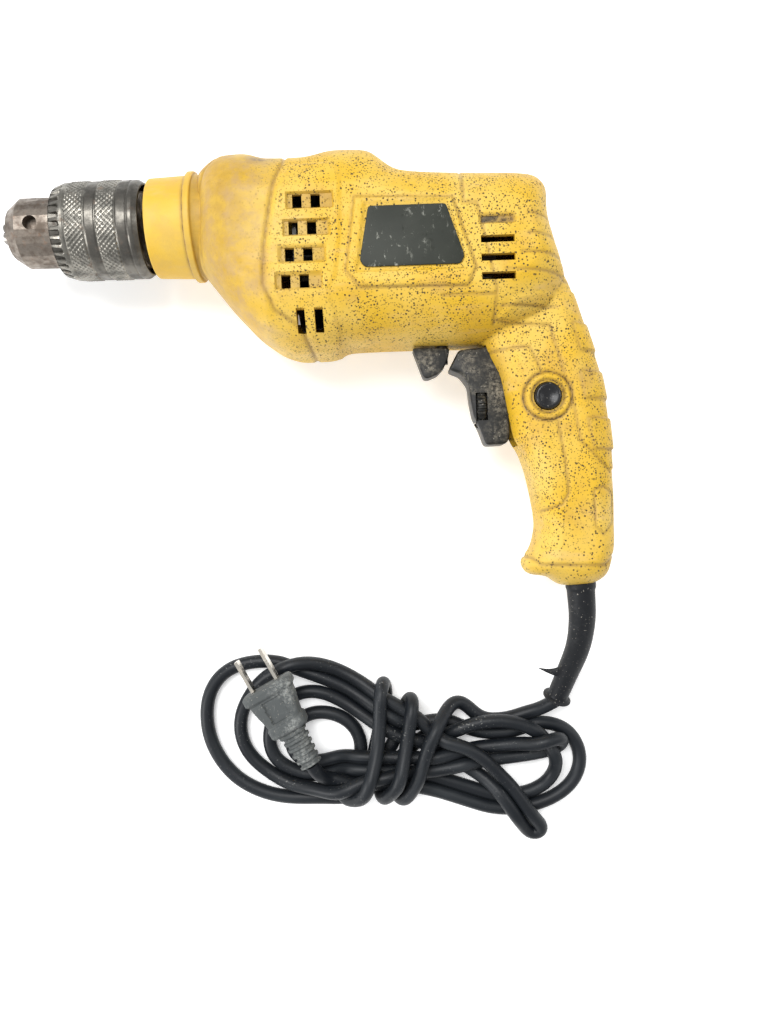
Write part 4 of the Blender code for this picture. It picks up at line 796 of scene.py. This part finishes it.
def rise(depth, width=0.9):
    """A smooth step from 0 to 1 across a width centred on the outline."""
    t = np.clip(depth / width + 0.5, 0.0, 1.0)
    return t * t * (3 - 2 * t)


def groove(distance, half):
    """A soft valley, 1 on its line and 0.5 at half mm from it."""
    return 1.0 / (1.0 + (distance / half) ** 4)


def box_loop(cx, cy, w, h):
    corners = ((-1, -1), (1, -1), (1, 1), (-1, 1))
    return [(cx + right * w / 2, cy + up * h / 2) for right, up in corners]


def relief(x, y, z, facing):
    """How far the skin stands out, in mm, and how much grime and painted shade lie on it, at each place.
    facing is the size of the normal's z part: a line on a flat face fades out where the skin turns down."""
    flat = np.clip((facing - 0.10) / 0.22, 0.0, 1.0)
    out, grime = np.zeros(len(x)), np.zeros(len(x))
    for line, half, deep, everywhere in (
            (COVER_SEAM, 0.7, 0.7, True), (FRONT_SEAM, 0.7, 0.7, False), (REAR_SEAM, 0.5, 0.45, False),
            (BLOCK_SEAM, 0.5, 0.4, False), (TRIGGER_SEAM, 0.5, 0.5, False), (GRIP_SEAM, 0.5, 0.5, False),
            (STRAP[:6], 0.5, 0.45, False), (TAIL_STEP, 0.6, 0.5, True),
            (TAIL_BADGE + TAIL_BADGE[:1], 0.5, 0.45, False),
            (LABEL_FRAME + LABEL_FRAME[:1], 0.5, 0.4, False),
            *((line, 0.5, 0.4, False) for line in SIDE_LINES)):
        distance = line_distance(x, y, line)
        weight = 1.0 if everywhere else flat
        out -= deep * groove(distance, half) * weight
        grime = np.maximum(grime, np.exp(-(distance / (half * 1.3)) ** 2) * weight * 0.75)
    ring = rise(inside_depth(x, y, LABEL_FRAME), 1.6) - rise(inside_depth(x, y, LABEL_SEAT), 0.8)
    out += 0.8 * ring * flat + 0.5 * rise(inside_depth(x, y, VENT_BLOCK), 1.6) * flat
    out += 0.6 * rise(inside_depth(x, y, STRAP), 1.2) * flat
    for pad in GRIP_PADS:
        depth = inside_depth(x, y, pad)
        out += 0.9 * rise(depth, 1.0)
        grime = np.maximum(grime, np.exp(-(depth / 0.9) ** 2) * 0.6)
    for cx, cy in VENT_ROWS:
        depth = inside_depth(x, y, box_loop(cx + 1.6, cy, 19.0, 6.4))
        out -= 1.3 * rise(depth, 0.8) * flat
        grime = np.maximum(grime, rise(depth, 1.0) * 0.55 * flat)
    blind = inside_depth(x, y, box_loop(33.2, -12.6, 14.4, 3.4))
    out -= 1.3 * rise(blind, 0.8) * flat
    # Painted shade: the floor of this blind slot is painted dark, and black in patches, like the open
    # slots beside it.
    grime = np.maximum(grime, rise(blind, 1.4) * flat)
    radius = np.hypot(x - BUTTON_CENTRE[0], y - BUTTON_CENTRE[1])
    raised_ring = rise(9.9 - radius, 0.9) - rise(7.4 - radius, 0.7)
    out += (0.9 * raised_ring - 0.5 * groove(radius - 10.4, 0.5)) * flat
    ring_grime = np.exp(-((radius - 10.4) / 0.9) ** 2) + np.exp(-((radius - 7) / 0.7) ** 2)
    grime = np.maximum(grime, ring_grime * flat)
    # Painted shade with some brown stain: the rounded front gear cover gets darker towards its front
    # end.
    front_stain_and_shade = rise(-68.0 - x + 0.12 * y, 26.0) * (x < -50) * 0.5
    edge = rise(y - (24.5 - 4 * np.abs(z - 35) / 35), 6.0) * 0.35
    smudge = np.exp(-(((x + 66) / 9) ** 2 + ((y - 19) / 4) ** 2)) * 0.9
    out = np.where(z < 3.0, np.minimum(out, 0.0), out)
    return out, np.clip(np.maximum.reduce([grime, front_stain_and_shade, edge, smudge]), 0.0, 1.0)


def arrays(mesh):
    """A mesh's points and the normals at them, as two arrays."""
    points = np.empty(len(mesh.vertices) * 3, np.float32)
    mesh.vertices.foreach_get("co", points)
    normals = np.empty(len(mesh.vertices) * 3, np.float32)
    mesh.vertex_normals.foreach_get("vector", normals)
    return points.reshape(-1, 3).astype(float), normals.reshape(-1, 3).astype(float)


def worked(obj, name):
    """The mesh that an object's modifiers make, as a new mesh. The object itself is taken away."""
    made = bpy.data.meshes.new_from_object(obj.evaluated_get(bpy.context.evaluated_depsgraph_get()))
    made.name = name
    bpy.data.objects.remove(obj, do_unlink=True)
    return made


def cut(mesh, name, *tools, operation="DIFFERENCE"):
    """The mesh less each tool in turn, or joined or crossed with it, by the Manifold solver."""
    obj = add_object(name, mesh)
    others = [add_object("tool", tool) for tool in tools]
    for other in others:
        step = obj.modifiers.new("cut", "BOOLEAN")
        step.solver, step.operation, step.object = "MANIFOLD", operation, other
    made = worked(obj, name)
    for other in others:
        bpy.data.objects.remove(other, do_unlink=True)
    return made


def prism(loops, low, high):
    """Upright prisms over outlines in mm, all in one mesh."""
    points, faces = [], []
    for loop in loops:
        n, base = len(loop), len(points)
        area = sum(ax * by - bx * ay for (ax, ay), (bx, by) in zip(loop, loop[1:] + loop[:1]))
        loop = loop if area > 0 else loop[::-1]
        points += [(x * MM, y * MM, z * MM) for z in (low, high) for x, y in loop]
        faces += [[base + k for k in range(n)][::-1], [base + n + k for k in range(n)]]
        faces += [[base + k, base + (k + 1) % n, base + n + (k + 1) % n, base + n + k] for k in range(n)]
    return plain_mesh("prism", np.array(points), faces)


def circle_loop(cx, cy, radius, sides=32):
    angles = [2 * math.pi * k / sides for k in range(sides)]
    return [(cx + radius * math.cos(a), cy + radius * math.sin(a)) for a in angles]


def rod(start, end, radius, sides=48):
    """A straight round bar between two points, mm."""
    path = np.linspace(start, end, 2) * MM
    return grid_mesh("rod", tube_grid(path, np.full(2, radius * MM), sides))


print("features:", len(SIDE_LINES) + len(GRIP_PADS) + len(VENTS) + 9)

# %% Outer skin
body_loop, handle_loop = rounded_loop(BODY_LOOP, 3.4, 1.2), rounded_loop(HANDLE_LOOP, 3.2, 1.0)


def two_blocks(name, inset):
    """The motor body and the handle in one mesh, inset by a wall in mm."""
    body_block = grid_mesh("block", swollen(body_loop, BODY_SPINE, BODY_HALF, inset))
    handle_block = grid_mesh("block", swollen(handle_loop, HANDLE_SPINE, HANDLE_HALF, inset))
    return cut(body_block, name, handle_block, operation="UNION")


fused = two_blocks("housing_skin", 0.0)
skin_object = add_object("housing_skin", fused)
even = skin_object.modifiers.new("even", "REMESH")
even.mode, even.voxel_size = "VOXEL", 0.00080
soften = skin_object.modifiers.new("soften", "SMOOTH")
soften.factor, soften.iterations = 0.5, 3
outer = worked(skin_object, "housing_skin")
points, normals = arrays(outer)
out, _ = relief(*(points.T / MM), np.abs(normals[:, 2]))
points += normals * out[:, None] * MM
outer.vertices.foreach_set("co", points.astype(np.float32).ravel())
outer.update()
print("skin points:", len(points))

# %% Hollow, pierce and halve it
SCREWS = [(-83.0, 20.8, 10.5), (-76.0, -27.0, 10.5), (-8.0, -50.2, 10.5), (50.0, 3.0, 10.5),
          (66.0, -60.0, 21.7), (66.5, -116.0, 21.7), (56.0, -155.0, 21.7)]
screw_posts = prism([circle_loop(x, y, 4.3) for x, y, _ in SCREWS], BELOW_ALL, ABOVE_ALL)
hollow = cut(two_blocks("hollow", WALL), "hollow", screw_posts)
slots = [box_loop(x, y, 3.9, 5.6) for x, y in VENTS]
lower_vents = [box_loop(-46.0 + 3.8 * side, -50.5, 3.6, 9.0) for side in (-1, 1)]
side_slots = [box_loop(33.0, -21.0 - 7.6 * row, 14.0, 3.0) for row in range(3)]
openings = [
    *(prism(loops, BELOW_ALL, ABOVE_ALL) for loops in (slots, lower_vents, side_slots)),
    prism([box_loop(29.9, -81.8, 33.2, 45.6)], 28.2, 41.8),
    rod((11, -70, 35), (11, -50, 35), 3.0),
    prism([circle_loop(*BUTTON_CENTRE, 6.2)], 35, ABOVE_ALL),
    prism([box_loop(-73, 26.6, 14.6, 8.8)], 25.7, 44.3),
    rod((70, -148, 35), (70, -176, 35), 6.8),
    rod((-122, 0, 35), (-89, 0, 35), 19.8),
    prism([circle_loop(x, y, 2.2) for x, y, _ in SCREWS], BELOW_ALL, 34),
    *(prism([circle_loop(x, y, 3.1)], BELOW_ALL, z) for x, y, z in SCREWS)]
shell = cut(outer, "housing_shell", hollow, *openings)
print("shell points:", len(shell.vertices))


def half_shell(name, low, high):
    """The part of the shell between two heights in mm, with its grime and painted shade worked out
    again.
    """
    slab = prism([box_loop(0, -70, 400, 400)], low, high)
    mesh = cut(shell.copy(), name, slab, operation="INTERSECT")
    places, ways = arrays(mesh)
    _, grime = relief(*(places.T / MM), np.abs(ways[:, 2]))
    grime_mark = mesh.attributes.new("grime", "FLOAT", "POINT")
    grime_mark.data.foreach_set("value", grime.astype(np.float32))
    dress(mesh, YELLOW, 38)
    obj = add_object(name, mesh)
    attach(obj, "housing")
    print(name, "faces:", len(mesh.polygons))
    return obj


upper = half_shell("housing_upper", 35.08, 90)
lower = half_shell("housing_lower", -20, 34.92)
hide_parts("left_housing")
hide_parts("right_housing")

# %% [markdown]
# ## Collar, chuck sleeve and key teeth
# Turned parts are profiles spun about the spindle's axis. On the sleeve the radius also depends on
# the angle: key teeth stand round the bevelled front edge, and two bands are knurled. A knurl is the
# product of two triangle waves that wind round the sleeve in opposite directions.


# %% Turned parts
def triangle_wave(turns):
    return np.abs((turns % 1.0) * 2.0 - 1.0)


def sleeve_swell(x, angle):
    """Change of the sleeve's radius, mm. Teeth are notches deepening to the front; knurls are
    pyramids 0.3 mm high in two bands; a shallow groove borders each band."""
    turn = angle / (2 * np.pi)
    tooth = np.clip(np.sin(34 * angle) * 2.5, -1.0, 1.0) * 0.5 + 0.5
    teeth = -1.7 * tooth * np.clip((-153.2 - x) / 1.0, 0.0, 1.0)
    band = np.zeros_like(x)
    for low, high in ((-151.0, -143.0), (-137.5, -129.5)):
        band = np.maximum(band, ((x > low) & (x < high)).astype(float))
    knurl = 0.42 * triangle_wave(60 * turn + x / 2.3) * triangle_wave(60 * turn - x / 2.3) * band
    lines = sum(-0.3 * groove(x - at, 0.35) for at in (-151.3, -142.7, -137.8, -129.2, -124.2))
    return teeth + knurl + lines


SLEEVE_BORE = 19.2
SLEEVE_SIDES = 480
sleeve_outer = fine_profile([(-158.4, 18.9), (-158.4, 19.5), (-153.6, 21.2), (-122.0, 21.4),
                             (-119.7, 19.9), (-119.7, 19.3)], 0.26, 0.5)
sleeve_inner = [(-119.7, 18.9), (-119.7, SLEEVE_BORE), (-158.4, SLEEVE_BORE)]
sleeve_profile = np.vstack([sleeve_outer, sleeve_inner])
row = np.arange(len(sleeve_profile))[:, None]
worked_rows = (row > 3) & (row < len(sleeve_outer) - 6)
sleeve_grid = lathe_grid(sleeve_profile, SLEEVE_SIDES,
                         swell=lambda x, angle: sleeve_swell(x, angle) * worked_rows)
sleeve_x = sleeve_grid[..., 0] / MM
sleeve_r = np.hypot(sleeve_grid[..., 1], sleeve_grid[..., 2] - MIDDLE)
smooth_band = ((sleeve_x > -142.6) & (sleeve_x < -137.9)) | (sleeve_x > -129.1)
tooth_gap = (sleeve_x < -153.4) * (sleeve_r < 0.0198)
sleeve_dark = np.where(smooth_band, 0.72, 0.15) + 0.6 * tooth_gap
sleeve = skin("chuck_sleeve_knurled", sleeve_grid, SLEEVE_STEEL, "sleeve", smooth_angle=35.0,
              marks={"grime": sleeve_dark}, hoop=True)
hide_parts("chuck_sleeve")

collar_profile = fine_profile([(-116.8, 18.6), (-116.8, 21.6), (-100.0, 22.3), (-99.4, 22.4),
                               (-99.4, 24.0), (-96.6, 24.0), (-96.2, 22.6), (-86.0, 21.0),
                               (-86.0, 18.6)], 0.8, 0.7)
collar_grid = lathe_grid(collar_profile, 160)
collar_x = collar_grid[..., 0] / MM
collar_dark = 0.9 * np.exp(-((collar_x + 99.7) / 0.8) ** 2) + 0.5 * (collar_x > -96.4)
collar = skin("gear_case_neck", collar_grid, COLLAR_YELLOW, "housing", smooth_angle=35.0,
              marks={"grime": collar_dark}, hoop=True)
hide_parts("gear_case_collar")
print("sleeve faces:", len(sleeve.data.polygons))

# %% [markdown]
# ## Controls and label
# The trigger, the reversing lever and the label are outlines given thickness and a rounded edge. The
# speed dial is a small wheel with ribs. The lock-on button is a shallow dome in its raised ring.


# %% Controls
def moulded(name, loop, low, high, edge, finish, body, extra=(), less=(), reach=1.6):
    """A flat moulding: its outline between two heights, with an edge of that radius all round, and
    then other shapes joined to it or taken from it. Measures are in mm."""
    obj = add_object(name, prism([rounded_loop(loop, reach, 0.8).tolist()], low, high))
    bevel = obj.modifiers.new("edge", "BEVEL")
    bevel.width, bevel.segments = edge * MM, 4
    bevel.limit_method, bevel.angle_limit = "ANGLE", math.radians(50)
    mesh = worked(obj, name)
    for tool in extra:
        mesh = cut(mesh, name, tool, operation="UNION")
    if less:
        mesh = cut(mesh, name, *less)
    dress(mesh, finish, 35)
    obj = add_object(name, mesh)
    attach(obj, body)
    return obj


TRIGGER_LOOP = [(18.0, -60.8), (31, -59.6), (36.8, -64), (38.4, -76), (39.2, -88), (39.5, -101),
                (37.6, -103.6), (28.8, -103.8), (26.4, -96.5), (23.8, -91), (22.6, -84),
                (22, -76.5), (18.5, -71.5), (13.2, -69.4)]
trigger = moulded("trigger_moulding", TRIGGER_LOOP, 28.5, 41.5, 1.6, CONTROL, "trigger",
                  less=[rod((24.8, -86.5, 35), (30.0, -86.5, 35), 9.0)])
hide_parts("trigger")
LEVER_LOOP = [(-2.6, -58.8), (14.2, -59.4), (13.4, -63.6), (11.4, -68), (8.2, -71.2), (4, -72.8),
              (2, -72.4)]
lever = moulded("reverse_lever_moulding", LEVER_LOOP, 30.5, 39.5, 0.9, CONTROL, "reverse_lever",
                extra=[rod((11, -66, 35), (11, -54.6, 35), 2.5)], reach=0.8)
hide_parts("reverse_lever")

dial_profile = np.array([(25.3, 2.0), (25.3, 7.0), (25.8, 8.2), (26.6, 8.6), (28.2, 8.6), (29.0, 8.2),
                         (29.5, 7.0), (29.5, 2.0)])
DIAL_RIBS, RIB_DEPTH = 22, 0.8
rim_rows = np.array([0, 1, 1, 1, 1, 1, 1, 0])[:, None]


def dial_swell(x, angle):
    """Change of the wheel's radius, mm: grooves between the ribs, on its rim only."""
    between_ribs = np.clip(np.sin(DIAL_RIBS * angle) * 2.0, -1.0, 1.0) * 0.5 + 0.5
    return -RIB_DEPTH * between_ribs * rim_rows


dial_grid = lathe_grid(dial_profile, 12 * DIAL_RIBS, axis_y=-86.5, swell=dial_swell)
dial = skin("speed_dial_wheel", dial_grid, CONTROL, "speed_dial")
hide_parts("speed_dial")

dome_r = np.array([5.8, 5.85, 5.85, 5.6, 5.0, 4.4, 3.6, 2.4, 1.2, 0.05])
dome_z = np.array([47.4, 50.0, 54.6, 55.6, 56.1, 56.2, 56.0, 55.6, 55.4, 55.35])
DOME_SIDES = 96
turn = np.linspace(0.0, 2 * np.pi, DOME_SIDES, endpoint=False)
dome_x = BUTTON_CENTRE[0] + dome_r[:, None] * np.cos(turn)
dome_y = BUTTON_CENTRE[1] + dome_r[:, None] * np.sin(turn)
dome = np.stack([dome_x, dome_y, np.repeat(dome_z[:, None], DOME_SIDES, axis=1)], axis=-1)
button = skin("lock_button_dome", dome * MM, BUTTON_BLACK, "lock_button", smooth_angle=60)
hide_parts("lock_button")

LABEL_LOOP = [(-20, -6), (12, -6), (19.0, -27.6), (17.4, -31), (-22.2, -31), (-24.2, -28.4)]
label = moulded("label_sheet", LABEL_LOOP, 70.15, 70.95, 0.3, LABEL_BLACK, "housing", reach=1.2)
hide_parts("label_plate")
print("controls:", [o.name for o in (trigger, lever, dial, button, label)])

# %% [markdown]
# ## Parts kept from the model
# The chuck body, jaws, plug blades, screws, motor and gears keep their engineering shapes, and only
# their finishes change.

# %% Finishes for the model's own parts
FINISHES = {"housing_yellow": YELLOW, "label_black": LABEL_BLACK, "control_black": CONTROL,
            "insulator": INSULATOR, "lead_rubber": SLEEVE_RUBBER, "worn_steel": NOSE_STEEL,
            "dark_steel": JAW_STEEL, "copper": COPPER, "brass": BRASS, "carbon": CARBON}
SPECIAL = {"plug_blade_1": BLADE_STEEL, "plug_blade_2": BLADE_STEEL}
changed = 0
for name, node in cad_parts.items():
    for place in node.material_slots:
        look = place.material.name.split(".")[0] if place.material else ""
        finish = SPECIAL.get(name) or FINISHES.get(look)
        if finish:
            place.link = "OBJECT"
            place.material = finish
            changed += 1
print("model parts refinished:", changed)

# %% [markdown]
# ## Table, lamps and room
# The table is pale and lit evenly, so it glows a little by itself. The lamps are wide and far away,
# which keeps the shadows short and soft.

# %% Table and lamps
floor_mesh = plain_mesh("floor", [(-3, -3, 0), (3, -3, 0), (3, 3, 0), (-3, 3, 0)], [(0, 1, 2, 3)])
floor = add_object("floor", floor_mesh)
floor_paint = Paint("pale_floor")
floor_mesh.materials.append(floor_paint.finish((0.95, 0.95, 0.945), 0.8))
floor_paint.shader.inputs["Emission Color"].default_value = (1.0, 1.0, 1.0, 1.0)
floor_paint.shader.inputs["Emission Strength"].default_value = 0.30
floor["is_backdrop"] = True


def lamp(name, place, aim, size, power):
    """A round soft lamp of a size in metres and a power in watts, which faces a point."""
    data = bpy.data.lights.new(name, "AREA")
    data.shape, data.size, data.energy = "DISK", size, power
    obj = add_object(name, data)
    obj.location = place
    obj.rotation_euler = (Vector(aim) - Vector(place)).to_track_quat("-Z", "Y").to_euler()


LIT_PLACE = (0, -0.1, 0)
lamp("overhead", (-0.35, 0.45, 1.4), LIT_PLACE, 0.9, 19)
lamp("left", (-1.2, -0.5, 0.7), LIT_PLACE, 0.5, 9)
lamp("right", (1.1, 0.2, 0.8), LIT_PLACE, 0.6, 3.5)
room = bpy.data.worlds.new("room")
bpy.context.scene.world = room
room.use_nodes = True
sky = room.node_tree.nodes["Background"]
sky.inputs["Color"].default_value = (0.97, 0.985, 1.0, 1.0)
sky.inputs["Strength"].default_value = 0.55
bpy.context.scene.view_settings.view_transform = "Standard"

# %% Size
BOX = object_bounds()
for name, box in (("model", CAD_BOX), ("visual", BOX)):
    print(name, "box, mm:", [[round(1000 * float(n)) for n in corner] for corner in box])
